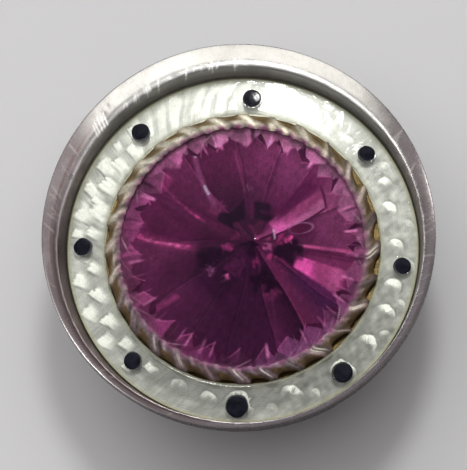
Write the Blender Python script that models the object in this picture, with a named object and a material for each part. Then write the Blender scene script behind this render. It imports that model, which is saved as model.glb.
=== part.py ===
"""Jewelled sew-on button with a wire loop shank.

Frame: metres, +Z towards the face. The origin is on the rim's axis at the lowest point of the wire
loop, where the thread holds the button on the cloth. Sizes below are in millimetres and heights
are from the plane of the rim's flat rear ring. Outlines are lists of (radius, z).
The face (enamel border, collet and stone) is let into the rim a little off its centre, so the
bead is wide on one side and narrow on the other.
"""
import math

import bmesh
import bpy
from mathutils import Vector

MM = 0.001

# clearances between neighbouring parts
SEAT_GAP = 0.02
FIT_GAP = 0.03

# rim
RIM_STEPS = 80
RIM_R = 8.0             # widest radius
REAR_RING_IN = 7.20
RIM_SIDE = [            # about the rim's centre, from the rear ring up the outer side
    (REAR_RING_IN, 0.0), (7.60, 0.0), (7.70, 0.05), (7.76, 0.18), (7.88, 0.90),
]
RIM_EDGE_DROPS = (0.34, 0.07)   # outer edge points, below the foot of the flank
FLANK = (0.05, 0.22, 0.45, 0.68, 0.86, 1.0)     # stations from the outer edge to the crest
FLANK_RISE = 0.42       # fall from the crest, per millimetre of flank
FLANK_POWER = 1.3       # above 1, the flank flattens towards the crest
RIM_CREST_Z = 2.42
RIM_WALL = 0.22         # plan width of the steep inner side, where the bead is widest
WALL_MIN_SHARE = 0.55   # part of that width left where the bead is narrowest
WALL_FULL_AT = 0.85     # bead width from which the wall has its full width
RIM_WALL_POINTS = [     # (share of the wall's width, z)
    (0.08, RIM_CREST_Z - 0.07), (0.94, 1.64),
]
FACE_X, FACE_Y = 0.16, -0.52    # centre of the face, from the rim's centre
BEZEL_R = 7.17          # inner wall of the rim, about the face's centre
LEDGE_R = 6.60
LEDGE_Z = 1.43

# back plate
BACK_R = REAR_RING_IN - FIT_GAP
BACK_Z0, BACK_Z1 = 0.03, 0.37
INSIDE_Z = BACK_Z1 + FIT_GAP    # underside of what stands over the back plate

# engraved ground and enamel
GROUND_IN = 5.30
GROUND_Z0, GROUND_Z1 = LEDGE_Z + SEAT_GAP, 1.60
ENAMEL_STEPS = 7
ENAMEL_IN, ENAMEL_OUT = 5.60, BEZEL_R - FIT_GAP
ENAMEL_Z0 = GROUND_Z1 + SEAT_GAP
ENAMEL_EDGE_Z = 1.80
ENAMEL_CROWN = 0.25     # rise of the enamel's surface from edge to crown
CROWN_POWER = 0.7       # below 1, the dome is fuller than a sine

# black drops: angle in degrees, distance from the face's centre, radius
DROPS = [
    (86.5, 6.24, 0.36), (37.5, 6.34, 0.33), (-7.0, 6.50, 0.34), (-52.0, 6.52, 0.41),
    (-92.0, 6.48, 0.45), (-134.0, 6.38, 0.35), (179.0, 6.47, 0.36), (130.5, 6.38, 0.36),
]
DROP_STEPS = 20
PIT_Z = ENAMEL_EDGE_Z
PIT_CUTTER_H = 0.8
DROP_Z0 = PIT_Z + SEAT_GAP
DROP_SHOULDER_Z, DROP_TOP = 1.98, 2.13
DOME_STEPS = 3

# stone
MAINS = 14
STONE_R = 5.10
GIRDLE_Z0, GIRDLE_Z1 = 1.96, 2.06
CULET_Z = 0.85
STAR_R = 4.28           # where the ridges between main facets end
APEX_X, APEX_Y, APEX_Z = 0.50, 0.0, 3.35    # the point is cut a little off centre

# foil
FOIL_IN, FOIL_OUT = 0.95, 4.82
FOIL_T = 0.05

# collet
CLAWS = 28
COLS = 6                # columns of faces per claw pitch
CLAW_COLS = 2           # columns drawn out into the claw
LIP = [                 # the first four points climb the outer side
    (5.16, 1.74), (5.30, 1.74), (5.33, 1.95), (5.28, 2.18),
    (5.14, 2.29), (4.99, 2.25), (4.96, 2.17), (5.14, 2.13),
]
OUTER_LIP_R = 5.28      # faces centred beyond this radius, between these heights, form claws
CLAW_FACES_Z0, CLAW_FACES_Z1 = 1.76, 2.16
CLAW_FEET = [(5.54, 1.74), (5.56, 1.82), (5.46, 1.97)]  # where LIP[1] to LIP[3] are drawn out to
CLAW_SLANT = 0.055      # sideways turn of a claw's outer end, in radians
CLAW_TAPER = 0.8        # angular width of that end, as a share of the claw's root

# shank and rivet
SHANK_PLATE_R = 2.60
SHANK_Z0, SHANK_Z1 = -0.24, BACK_Z0 - SEAT_GAP
FOOT_Z = SHANK_Z0 - SEAT_GAP
RIVET_STEPS = 24
RIVET_R = 0.45
RIVET_HOLE_R = RIVET_R + SEAT_GAP
RIVET_CUTTER_H = 1.6
CUP_FLOOR_Z = 0.60      # upper side of the setting cup's floor, under the rivet's head

# wire loop
LOOP_STEPS = 14
WIRE_R = 0.42
LOOP_R = 1.70
LOOP_Z = -1.55
REAR_Z = LOOP_R + WIRE_R - LOOP_Z   # rear ring, above the loop's lowest point


# helpers

def material(name, colour, roughness, metallic=0.0, transmission=0.0, ior=1.5):
    mat = bpy.data.materials.new(name)
    mat.use_nodes = True
    shader = mat.node_tree.nodes["Principled BSDF"]
    shader.inputs["Base Color"].default_value = (*colour, 1.0)
    shader.inputs["Roughness"].default_value = roughness
    shader.inputs["Metallic"].default_value = metallic
    shader.inputs["Transmission Weight"].default_value = transmission
    shader.inputs["IOR"].default_value = ior
    mat.diffuse_color = (*colour, 1.0)
    return mat


def metal(name, colour, roughness):
    return material(name, colour, roughness, metallic=1.0)


def add_empty(name, location, parent=None):
    empty = bpy.data.objects.new(name, None)
    empty.location = location
    empty.parent = parent
    bpy.context.collection.objects.link(empty)
    return empty


def polar(radius, angle, z):
    return Vector((radius * math.cos(angle), radius * math.sin(angle), z))


def place(name, bm, mat, parent, sharp_deg=35.0, location=(0.0, 0.0, 0.0)):
    """Turn a bmesh into a named object under its parent."""
    bmesh.ops.recalc_face_normals(bm, faces=bm.faces[:])
    mesh = bpy.data.meshes.new(name)
    bm.to_mesh(mesh)
    bm.free()
    mesh.materials.append(mat)
    mesh.shade_smooth()
    mesh.set_sharp_from_angle(angle=math.radians(sharp_deg))
    obj = bpy.data.objects.new(name, mesh)
    obj.parent = parent
    obj.location = location
    bpy.context.collection.objects.link(obj)
    return obj


def turned(profile, steps, closed=True):
    """Spin an outline about the Z axis. An open outline starts and ends on the axis, a closed one
    is a ring's section."""
    bm = bmesh.new()
    verts = [bm.verts.new((r * MM, 0.0, z * MM)) for r, z in profile]
    pairs = list(zip(verts, verts[1:]))
    if closed:
        pairs.append((verts[-1], verts[0]))
    edges = [bm.edges.new(pair) for pair in pairs]
    bmesh.ops.spin(
        bm,
        geom=verts + edges,
        cent=(0.0, 0.0, 0.0),
        axis=(0.0, 0.0, 1.0),
        dvec=(0.0, 0.0, 0.0),
        angle=2.0 * math.pi,
        steps=steps,
        use_merge=True,
        use_duplicate=False,
    )
    bmesh.ops.remove_doubles(bm, verts=bm.verts[:], dist=1e-7)
    return bm


def add_cutter(name, radius, height, middle_z, segments, mat, location=(0.0, 0.0, 0.0)):
    """A hidden cylinder on the face, to be subtracted from other pieces."""
    bm = bmesh.new()
    bmesh.ops.create_cone(
        bm,
        cap_ends=True,
        segments=segments,
        radius1=radius * MM,
        radius2=radius * MM,
        depth=height * MM,
    )
    bmesh.ops.translate(bm, verts=bm.verts[:], vec=(0.0, 0.0, middle_z * MM))
    cutter = place(name, bm, mat, face_root, location=location)
    cutter.hide_render = True
    cutter.display_type = "WIRE"
    return cutter


def subtract(piece, cutter, modifier_name):
    cut = piece.modifiers.new(modifier_name, "BOOLEAN")
    cut.operation = "DIFFERENCE"
    cut.solver = "EXACT"
    cut.object = cutter


def pavilion_z(radius):
    """Height of the stone's back at this radius."""
    return CULET_Z + (GIRDLE_Z0 - CULET_Z) * radius / STONE_R


# rim

def rim_section(angle):
    """The rim's closed section at this angle. The bead's top is a low flank that climbs from the
    outer edge to a crest near the inside, then drops steeply to the enamel."""
    face_centre = Vector((FACE_X, FACE_Y, 0.0))
    outer = polar(RIM_R, angle, 0.0)
    inner = face_centre + polar(BEZEL_R, angle, 0.0)
    width = (outer - inner).length
    wall = RIM_WALL * min(1.0, max(WALL_MIN_SHARE, width / WALL_FULL_AT))
    flank = width - wall

    def across(distance, z):
        point = outer.lerp(inner, distance / width)
        point.z = z
        return point

    def flank_z(station):
        return RIM_CREST_Z - FLANK_RISE * flank * (1.0 - station) ** FLANK_POWER

    points = [polar(r, angle, z) for r, z in RIM_SIDE]
    points += [across(0.0, flank_z(FLANK[0]) - drop) for drop in RIM_EDGE_DROPS]
    points += [across(flank * station, flank_z(station)) for station in FLANK]
    points += [across(flank + share * wall, z) for share, z in RIM_WALL_POINTS]
    ledge = [(BEZEL_R, LEDGE_Z), (LEDGE_R, LEDGE_Z), (LEDGE_R, INSIDE_Z)]
    points += [face_centre + polar(r, angle, z) for r, z in ledge]
    points.append(polar(REAR_RING_IN, angle, INSIDE_Z))
    return points


def build_rim():
    """Sections swept round two circles that aren't concentric."""
    bm = bmesh.new()
    rings = []
    for k in range(RIM_STEPS):
        section = rim_section(2.0 * math.pi * k / RIM_STEPS)
        rings.append([bm.verts.new(point * MM) for point in section])
    for k, here in enumerate(rings):
        there = rings[(k + 1) % RIM_STEPS]
        for i in range(len(here)):
            j = (i + 1) % len(here)
            bm.faces.new((here[i], there[i], there[j], here[j]))
    place("rim_shell", bm, silver, root)


# back plate and shank plate

def build_plate(name, radius, z0, z1, chamfer, steps, cutter):
    """A disc chamfered round its rear edge, with a hole for the rivet."""
    outline = [
        (0.0, z0),
        (radius - chamfer, z0),
        (radius, z0 + chamfer),
        (radius, z1),
        (0.0, z1),
    ]
    plate = place(name, turned(outline, steps, closed=False), silver_back, root)
    subtract(plate, cutter, "rivet_hole")


# ground and enamel border

def build_ground():
    section = [
        (GROUND_IN, GROUND_Z0),
        (ENAMEL_OUT, GROUND_Z0),
        (ENAMEL_OUT, GROUND_Z1),
        (GROUND_IN, GROUND_Z1),
    ]
    place("ground_disc", turned(section, 72), engraved, face_root)


def build_enamel():
    """A domed band. Its pits are cut by the drops."""
    middle, half = (ENAMEL_IN + ENAMEL_OUT) / 2.0, (ENAMEL_OUT - ENAMEL_IN) / 2.0
    section = [(ENAMEL_IN, ENAMEL_Z0), (ENAMEL_OUT, ENAMEL_Z0)]
    for i in range(ENAMEL_STEPS + 1):
        angle = math.pi * i / ENAMEL_STEPS
        rise = ENAMEL_CROWN * math.sin(angle) ** CROWN_POWER
        section.append((middle + half * math.cos(angle), ENAMEL_EDGE_Z + rise))
    return place("enamel_ring", turned(section, 80), enamel, face_root)


def build_drop(number, angle_deg, distance, radius, enamel_ring):
    """A short plug with a domed top, in a pit in the enamel."""
    centre = polar(distance, math.radians(angle_deg), 0.0) * MM
    cutter = add_cutter(
        f"pit_cutter_{number}", radius + SEAT_GAP, PIT_CUTTER_H,
        PIT_Z + PIT_CUTTER_H / 2.0, DROP_STEPS, black, centre,
    )
    subtract(enamel_ring, cutter, f"pit_{number}")

    outline = [(0.0, DROP_Z0), (radius, DROP_Z0)]
    for i in range(DOME_STEPS):
        angle = 0.5 * math.pi * i / DOME_STEPS
        rise = (DROP_TOP - DROP_SHOULDER_Z) * math.sin(angle)
        outline.append((radius * math.cos(angle), DROP_SHOULDER_Z + rise))
    outline.append((0.0, DROP_TOP))
    bm = turned(outline, DROP_STEPS, closed=False)
    place(f"enamel_dot_{number}", bm, black, face_root, sharp_deg=50.0, location=centre)


# setting: cup, collet, stone and foil

def build_cup():
    """Flange under the collet, conical wall behind the foil, floor with the rivet's hole."""
    well_r, wall_out = 1.30, 4.88
    behind_foil = FIT_GAP + FOIL_T + FIT_GAP
    section = [
        (5.57, ENAMEL_Z0),
        (5.57, 1.70),
        (5.12, 1.70),
        (5.08, 1.84),
        (4.93, 1.85),
        (wall_out, pavilion_z(wall_out) - behind_foil),
        (well_r, pavilion_z(well_r) - behind_foil),
        (well_r, CUP_FLOOR_Z),
        (RIVET_HOLE_R, CUP_FLOOR_Z),
        (RIVET_HOLE_R, INSIDE_Z),
        (1.50, INSIDE_Z),
        (1.50, 0.86),
        (4.95, 1.50),
        (5.26, 1.50),
        (5.26, ENAMEL_Z0),
    ]
    place("setting_cup", turned(section, 72), gilt, face_root)


def polar_mm(point):
    """Radius and height in millimetres, and angle, of a point in metres."""
    return math.hypot(point.x, point.y) / MM, point.z / MM, math.atan2(point.y, point.x)


def draw_out_claw(bm, low, high):
    """Extrude the lip's outer faces between two angles into one slanting claw."""
    picked = []
    for face in bm.faces:
        r, z, angle = polar_mm(face.calc_center_median())
        on_outer_side = r > OUTER_LIP_R and CLAW_FACES_Z0 < z < CLAW_FACES_Z1
        if on_outer_side and low < angle % (2.0 * math.pi) < high:
            picked.append(face)
    extruded = bmesh.ops.extrude_face_region(bm, geom=picked)
    bmesh.ops.delete(bm, geom=picked, context="FACES")
    middle = (low + high) / 2.0
    for vert in [g for g in extruded["geom"] if isinstance(g, bmesh.types.BMVert)]:
        _, z, angle = polar_mm(vert.co)
        row = min(range(3), key=lambda i: abs(LIP[i + 1][1] - z))
        foot_r, foot_z = CLAW_FEET[row]
        offset = (angle - middle + math.pi) % (2.0 * math.pi) - math.pi
        vert.co = polar(foot_r, middle + offset * CLAW_TAPER + CLAW_SLANT, foot_z) * MM


def build_collet():
    """A rubbed-over lip with a row of claws on its outer side."""
    bm = turned(LIP, CLAWS * COLS)
    pitch = 2.0 * math.pi / CLAWS
    for n in range(CLAWS):
        draw_out_claw(bm, pitch * n, pitch * n + CLAW_COLS * pitch / COLS)
    place("claw_ring", bm, collet_metal, face_root)


def half_stone(bm, tip, star_z, girdle, up):
    """One side of the stone on its ring of girdle vertices. Even ones are under main facets."""
    point = bm.verts.new(tip * MM)
    stars = []
    for k in range(MAINS):
        angle = 2.0 * math.pi * (k + 0.5) / MAINS
        stars.append(bm.verts.new(polar(STAR_R, angle, star_z) * MM))
    for k in range(MAINS):
        star_before, star_after = stars[k - 1], stars[k]
        main = girdle[2 * k]
        between = girdle[2 * k + 1]
        next_main = girdle[(2 * k + 2) % (2 * MAINS)]
        for corners in (
            (point, star_before, main),
            (point, main, star_after),
            (star_after, main, between),
            (star_after, between, next_main),
        ):
            bm.faces.new(corners if up else corners[::-1])


def build_stone():
    """Fourteen kite facets to a point, with two small facets between each pair at the girdle."""
    bm = bmesh.new()
    upper, lower = [], []
    for k in range(2 * MAINS):
        angle = math.pi * k / MAINS
        upper.append(bm.verts.new(polar(STONE_R, angle, GIRDLE_Z1) * MM))
        lower.append(bm.verts.new(polar(STONE_R, angle, GIRDLE_Z0) * MM))
    for k in range(2 * MAINS):
        j = (k + 1) % (2 * MAINS)
        bm.faces.new((lower[k], lower[j], upper[j], upper[k]))
    slope = (APEX_Z - GIRDLE_Z1) / STONE_R
    crown_star_z = APEX_Z - slope * STAR_R * math.cos(math.pi / MAINS)
    half_stone(bm, Vector((APEX_X, APEX_Y, APEX_Z)), crown_star_z, upper, up=True)
    half_stone(bm, Vector((0.0, 0.0, CULET_Z)), pavilion_z(STAR_R), lower, up=False)
    place("paste_stone", bm, paste, face_root, sharp_deg=2.0)


def build_foil():
    """A thin cone lining the cup."""
    inner_z = pavilion_z(FOIL_IN) - FIT_GAP
    outer_z = pavilion_z(FOIL_OUT) - FIT_GAP
    section = [
        (FOIL_IN, inner_z),
        (FOIL_IN, inner_z - FOIL_T),
        (FOIL_OUT, outer_z - FOIL_T),
        (FOIL_OUT, outer_z),
    ]
    place("foil_back", turned(section, 56), foil, face_root)


# rivet and shank

def build_rivet():
    """Head in the cup's well, shaft through cup, back and shank plate, closed on the rear."""
    under_head_z = CUP_FLOOR_Z + SEAT_GAP
    outline = [
        (0.0, 0.76),
        (0.45, 0.74),
        (0.85, 0.67),
        (0.85, under_head_z),
        (RIVET_R, under_head_z),
        (RIVET_R, FOOT_Z),
        (0.70, FOOT_Z),
        (0.66, FOOT_Z - 0.08),
        (0.40, FOOT_Z - 0.15),
        (0.0, FOOT_Z - 0.17),
    ]
    place("centre_rivet", turned(outline, RIVET_STEPS, closed=False), gilt, face_root)


def build_loop():
    """Round wire in the XZ plane: two straight legs and a half circle."""
    leg_middle_z = (FOOT_Z + LOOP_Z) / 2.0
    path = [(-LOOP_R, FOOT_Z), (-LOOP_R, leg_middle_z)]
    for i in range(LOOP_STEPS + 1):
        angle = math.pi + math.pi * i / LOOP_STEPS
        path.append((LOOP_R * math.cos(angle), LOOP_Z + LOOP_R * math.sin(angle)))
    path += [(LOOP_R, leg_middle_z), (LOOP_R, FOOT_Z)]

    wire = bpy.data.curves.new("shank_loop", "CURVE")
    wire.dimensions = "3D"
    wire.bevel_depth = WIRE_R * MM
    wire.bevel_resolution = 2
    wire.use_fill_caps = True
    line = wire.splines.new("POLY")
    line.points.add(len(path) - 1)
    for point, (x, z) in zip(line.points, path):
        point.co = (x * MM, 0.0, z * MM, 1.0)
    wire.materials.append(wire_metal)
    loop = bpy.data.objects.new("shank_loop", wire)
    loop.parent = root
    bpy.context.collection.objects.link(loop)


def build_solder(number, x):
    """A fillet round one foot of the wire loop."""
    section = [
        (WIRE_R + FIT_GAP, FOOT_Z),
        (0.78, FOOT_Z),
        (0.64, FOOT_Z - 0.08),
        (0.54, FOOT_Z - 0.20),
        (0.50, FOOT_Z - 0.36),
        (WIRE_R + FIT_GAP, FOOT_Z - 0.40),
    ]
    bm = turned(section, 24)
    place(f"shank_solder_{number}", bm, solder, root, location=(x * MM, 0.0, 0.0))


for old in list(bpy.data.objects):
    bpy.data.objects.remove(old, do_unlink=True)

silver = metal("worn_silver", colour=(0.42, 0.37, 0.37), roughness=0.30)
silver_back = metal("dull_silver", colour=(0.36, 0.34, 0.33), roughness=0.42)
engraved = metal("engraved_silver", colour=(0.80, 0.80, 0.74), roughness=0.25)
enamel = material("white_enamel", colour=(0.80, 0.82, 0.68), roughness=0.12)
black = material("black_enamel", colour=(0.006, 0.007, 0.013), roughness=0.08)
gilt = metal("gilt_brass", colour=(0.62, 0.42, 0.13), roughness=0.35)
collet_metal = metal("collet_silver", colour=(0.50, 0.46, 0.43), roughness=0.28)
paste = material(
    "amethyst_paste", colour=(0.23, 0.015, 0.12), roughness=0.03, transmission=0.9, ior=1.56
)
foil = metal("foil", colour=(0.75, 0.72, 0.72), roughness=0.15)
wire_metal = metal("shank_wire", colour=(0.45, 0.43, 0.40), roughness=0.35)
solder = metal("solder", colour=(0.50, 0.50, 0.50), roughness=0.40)

root = add_empty("button_root", (0.0, 0.0, REAR_Z * MM))
face_root = add_empty("face_root", (FACE_X * MM, FACE_Y * MM, 0.0), root)

build_rim()
# the rivet stands on the face's centre, so its holes are off the plates' centres
rivet_cutter = add_cutter(
    "rivet_cutter", RIVET_HOLE_R, RIVET_CUTTER_H, 0.0, RIVET_STEPS, silver_back
)
build_plate("back_plate", BACK_R, BACK_Z0, BACK_Z1, chamfer=0.06, steps=72, cutter=rivet_cutter)
build_ground()
enamel_band = build_enamel()
for n, (angle_deg, distance, radius) in enumerate(DROPS, start=1):
    build_drop(n, angle_deg, distance, radius, enamel_band)
build_cup()
build_collet()
build_stone()
build_foil()
build_rivet()
build_plate(
    "shank_plate", SHANK_PLATE_R, SHANK_Z0, SHANK_Z1, chamfer=0.08, steps=48, cutter=rivet_cutter
)
build_loop()
build_solder(1, -LOOP_R)
build_solder(2, LOOP_R)
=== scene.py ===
"""Looks for a jewelled sew-on button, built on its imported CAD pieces.

The button lies flat: its face looks along +Z and the shank hangs below, along -Z. A foiled stone
sits in a collet of claws, inside a ring of enamelled silver with eight black drops, inside a rim.
Lengths are millimetres and heights are measured from the rim's flat rear ring. `make` turns them
into metres in the row frame. Angles round the button run from +X towards +Y.
"""

import math
from functools import reduce
from types import SimpleNamespace

import bmesh
import bpy
import numpy as np
from mathutils import Matrix, Vector


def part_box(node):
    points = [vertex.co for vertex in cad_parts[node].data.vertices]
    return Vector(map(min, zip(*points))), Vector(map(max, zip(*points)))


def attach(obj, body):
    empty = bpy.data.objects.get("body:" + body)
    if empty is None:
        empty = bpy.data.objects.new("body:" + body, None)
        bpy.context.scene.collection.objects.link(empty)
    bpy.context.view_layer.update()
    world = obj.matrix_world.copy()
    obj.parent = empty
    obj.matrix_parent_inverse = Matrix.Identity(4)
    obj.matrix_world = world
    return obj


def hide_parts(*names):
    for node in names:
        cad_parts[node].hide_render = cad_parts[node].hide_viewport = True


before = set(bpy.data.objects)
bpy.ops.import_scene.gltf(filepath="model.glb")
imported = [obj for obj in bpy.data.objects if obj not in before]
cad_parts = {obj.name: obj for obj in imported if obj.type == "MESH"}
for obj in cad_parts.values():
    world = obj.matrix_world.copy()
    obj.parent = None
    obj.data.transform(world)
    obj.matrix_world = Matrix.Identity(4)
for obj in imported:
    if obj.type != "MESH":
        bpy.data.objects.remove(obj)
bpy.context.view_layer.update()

MM = 0.001
TAU = 2.0 * math.pi
REAR_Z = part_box("rim_shell")[0].z / MM      # the rear ring above the row's origin
lo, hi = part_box("enamel_ring")
FACE = ((lo.x + hi.x) / 2 / MM, (lo.y + hi.y) / 2 / MM)   # the face's centre, off the rim's
FACE_X, FACE_Y = FACE

VIEW = (0.04586555, -0.20761719, 0.97713431)   # from the button towards the camera
STONE_R = 5.10
CULET_Z, GIRDLE_LOW, GIRDLE_TOP = 0.85, 1.96, 2.06


# ---------------------------------------------------------------- wobbles and masks

rng = np.random.default_rng


def ripple(angle, seed, low, high, count=9):
    """Smooth wobble with low to high waves a turn, about -1 to 1."""
    draw = rng(seed)
    waves = draw.integers(low, high + 1, count)
    phases = draw.uniform(0, TAU, count)
    sizes = draw.uniform(0.5, 1.0, count)
    total = sum(s * np.cos(w * angle + p) for s, w, p in zip(sizes, waves, phases))
    return total / (0.5 * sizes.sum())


def cloud(x, y, seed, size, count=14):
    """Smooth wobble over a plane, about -1 to 1, with features about `size` across."""
    draw = rng(seed)
    angles = draw.uniform(0, TAU, count)
    waves = TAU / (size * draw.uniform(0.7, 1.8, count) * 2)
    phases = draw.uniform(0, TAU, count)
    return sum(
        np.cos(w * (x * math.cos(a) + y * math.sin(a)) + p)
        for w, a, p in zip(waves, angles, phases)
    ) / (0.45 * count)


def smooth(start, end, x):
    """Eased step: 0 at start, 1 at end. It falls with x where start is above end."""
    t = np.clip((x - start) / (end - start), 0.0, 1.0)
    return t * t * (3 - 2 * t)


def away(deg, centre):
    """Signed angle from centre, -180 to 180."""
    return (deg - centre + 180.0) % 360.0 - 180.0


def window(deg, start, end, soft):
    """1 between two angles in degrees, 0 outside, soft at both ends."""
    mid, half = (start + end) / 2.0, (end - start) / 2.0
    return 1.0 - smooth(half - soft / 2.0, half + soft / 2.0, np.abs(away(deg, mid)))


def paint(colour, *coats):
    """Lay coats of (mask, colour) over an array of colours, in turn."""
    for mask, rgb in coats:
        mask = mask[..., None]
        colour = colour * (1 - mask) + np.array(rgb, float) * mask
    return colour


def linear(rgb):
    """Linear light from 0-255 screen values."""
    c = np.clip(np.asarray(rgb, float) / 255.0, 0, 1)
    return np.where(c <= 0.04045, c / 12.92, ((c + 0.055) / 1.055) ** 2.4)


def colour_round(deg, stations, channels):
    """Colour going round: one row of values at the stations for each channel."""
    return np.stack([np.interp(deg, stations, row) for row in channels], -1)


# ---------------------------------------------------------------- meshes


def add_object(name, data):
    obj = bpy.data.objects.new(name, data)
    bpy.context.scene.collection.objects.link(obj)
    return obj


ATTRIBUTES = {1: ("FLOAT", "value"), 3: ("FLOAT_VECTOR", "vector"), 4: ("FLOAT_COLOR", "color")}


def make(name, points, faces, mats, node, attrs=None, index=None, sharp=None, flat=False):
    """Mesh object from millimetre points, riding on the button's one body.

    attrs holds point attributes, index the material of each face, sharp the angle of hard edges.
    """
    points = np.asarray(points, float).reshape(-1, 3).copy()
    points[:, 2] += REAR_Z
    mesh = bpy.data.meshes.new(name)
    faces = faces.tolist() if hasattr(faces, "tolist") else faces
    mesh.from_pydata((points * MM).tolist(), [], faces)
    for mat in mats:
        mesh.materials.append(mat)
    if index is not None:
        mesh.polygons.foreach_set("material_index", np.asarray(index, np.int32))
    for key, values in (attrs or {}).items():
        values = np.asarray(values, np.float32).reshape(len(points), -1)
        kind, field = ATTRIBUTES[values.shape[1]]
        mesh.attributes.new(key, kind, "POINT").data.foreach_set(field, values.ravel())
    if flat:
        mesh.shade_flat()
    else:
        mesh.shade_smooth()
        if sharp is not None:
            mesh.set_sharp_from_angle(angle=math.radians(sharp))
    mesh.update()
    obj = add_object(name, mesh)
    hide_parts(node)
    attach(obj, "root")


def turns(count):
    """Evenly spaced angles round a full turn, in radians."""
    return TAU * np.arange(count) / count


def grid(first, second):
    return np.meshgrid(first, second, indexing="ij")


def circle(turn, r, z, centre=(0.0, 0.0)):
    x, y = centre[0] + r * np.cos(turn), centre[1] + r * np.sin(turn)
    return np.stack([x, y, np.zeros(len(turn)) + z], -1)


def ring_faces(around, across, closed):
    """Quads of a grid that goes round in its first index; closed joins the section's ends too."""
    i = np.arange(around)[:, None]
    j = np.arange(across if closed else across - 1)[None, :]
    i2, j2 = (i + 1) % around, (j + 1) % across
    quad = [i * across + j, i2 * across + j, i2 * across + j2, i * across + j2]
    return np.stack(quad, -1).reshape(-1, 4)


def arc_length(section):
    """Running length along a line of points."""
    d = np.diff(np.asarray(section, float), axis=0)
    return np.concatenate([[0.0], np.cumsum(np.hypot(d[:, 0], d[:, 1]))])


def ring_coords(turn, radius, length):
    """Texture place on turned metal: round a circle, and a length along the section."""
    coords = np.cos(turn) * radius, np.sin(turn) * radius, length
    return np.stack(np.broadcast_arrays(*coords), -1)


def refine(outline, step, closed):
    """Extra points along an outline, no further apart than step."""
    points = list(outline) + ([outline[0]] if closed else [])
    out = []
    for a, b in zip(points, points[1:]):
        n = max(1, int(math.ceil(math.hypot(b[0] - a[0], b[1] - a[1]) / step)))
        for k in range(n):
            out.append((a[0] + (b[0] - a[0]) * k / n, a[1] + (b[1] - a[1]) * k / n))
    if not closed:
        out.append(points[-1])
    return out


def lathe(name, outline, step, around, node, slot,
          centre=(0.0, 0.0), warp=None, closed=True, flip=False, sharp=40.0):
    """Turned piece from an outline of (r, z). warp(turn, r, z) returns a new r and z."""
    section = np.asarray(refine(outline, step, closed), float)
    turn, r = grid(turns(around), section[:, 0])
    z = np.broadcast_to(section[:, 1], turn.shape)
    if warp:
        r, z = warp(turn, r, z)
    points = np.stack([centre[0] + r * np.cos(turn), centre[1] + r * np.sin(turn), z], -1)
    faces = ring_faces(around, len(section), closed)
    make(
        name, points, faces[:, ::-1] if flip else faces, [METALS[slot]], node,
        attrs={"ring": ring_coords(turn, 6.0, arc_length(section))}, sharp=sharp,
    )


# ---------------------------------------------------------------- shader nodes


class Look:
    """A material or world under construction. Methods add nodes and return an output socket."""

    def __init__(self, name, world=False):
        self.made = (bpy.data.worlds if world else bpy.data.materials).new(name)
        self.made.use_nodes = True
        self.tree = self.made.node_tree
        self.tree.nodes.clear()
        self.out = self.new("OutputWorld" if world else "OutputMaterial")

    def new(self, kind, **settings):
        node = self.tree.nodes.new("ShaderNode" + kind)
        for key, value in settings.items():
            setattr(node, key, value)
        return node

    def fill(self, node, inputs):
        """Link or set inputs, given as (index or name, value) pairs; colours are (r, g, b)."""
        for key, value in inputs:
            socket = node.inputs[key]
            if isinstance(value, bpy.types.NodeSocket):
                self.tree.links.new(value, socket)
            else:
                socket.default_value = (*value, 1) if socket.type == "RGBA" else value
        return node.outputs[0]

    def node(self, kind, **inputs):
        pairs = [(key.replace("_", " "), value) for key, value in inputs.items()]
        return self.fill(self.new(kind), pairs)

    def math(self, op, *values, clamp=False):
        return self.fill(self.new("Math", operation=op, use_clamp=clamp), enumerate(values))

    def add(self, *values):
        return reduce(lambda a, b: self.math("ADD", a, b), values)

    def mul(self, *values):
        return reduce(lambda a, b: self.math("MULTIPLY", a, b), values)

    def weigh(self, *pairs):
        """Sum of (value, weight) pairs."""
        return self.add(*[self.mul(value, weight) for value, weight in pairs])

    def attr(self, name, output="Fac"):
        return self.new("Attribute", attribute_name=name).outputs[output]

    def scale(self, vector, by):
        return self.fill(self.new("VectorMath", operation="MULTIPLY"), enumerate((vector, by)))

    def pos(self):
        """Position in millimetres."""
        return self.scale(self.new("TexCoord").outputs["Object"], (1000.0,) * 3)

    def noise(self, vector, scale, detail=2.0, rough=0.5, warp=0.0):
        return self.node(
            "TexNoise", Vector=vector, Scale=scale, Detail=detail, Roughness=rough, Distortion=warp
        )

    def ramp(self, value, over, to=(0.0, 1.0)):
        """Map one range to another, clamped."""
        return self.fill(self.new("MapRange", clamp=True), enumerate((value, *over, *to)))

    def mix(self, factor, a, b, blend="MIX"):
        node = self.new("Mix", data_type="RGBA", blend_type=blend)
        self.fill(node, ((0, factor), (6, a), (7, b)))
        return node.outputs[2]

    def tint(self, colour, *coats):
        """Coats of (mask, amount, colour to go towards), in turn."""
        for mask, amount, toward in coats:
            colour = self.mix(self.mul(mask, amount), colour, toward)
        return colour

    def bump(self, height, depth):
        return self.node("Bump", Distance=depth * MM, Strength=1.0, Height=height)

    def metal(self, colour, rough, normal):
        return self.node(
            "BsdfPrincipled", Base_Color=colour, Metallic=1.0, Roughness=rough, Normal=normal
        )

    def mix_shader(self, factor, a, b):
        return self.fill(self.new("MixShader"), enumerate((factor, a, b)))

    def glaze(self, inside, gloss, normal, ior, limit):
        """Gloss over the front faces by Fresnel, never more than limit."""
        shine = self.math("MINIMUM", self.node("Fresnel", IOR=ior, Normal=normal), limit)
        back = self.new("NewGeometry").outputs["Backfacing"]
        return self.mix_shader(self.mul(shine, self.math("SUBTRACT", 1.0, back)), inside, gloss)

    def done(self, shader):
        self.tree.links.new(shader, self.out.inputs["Surface"])
        return self.made


# ---------------------------------------------------------------- turned metals


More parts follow.
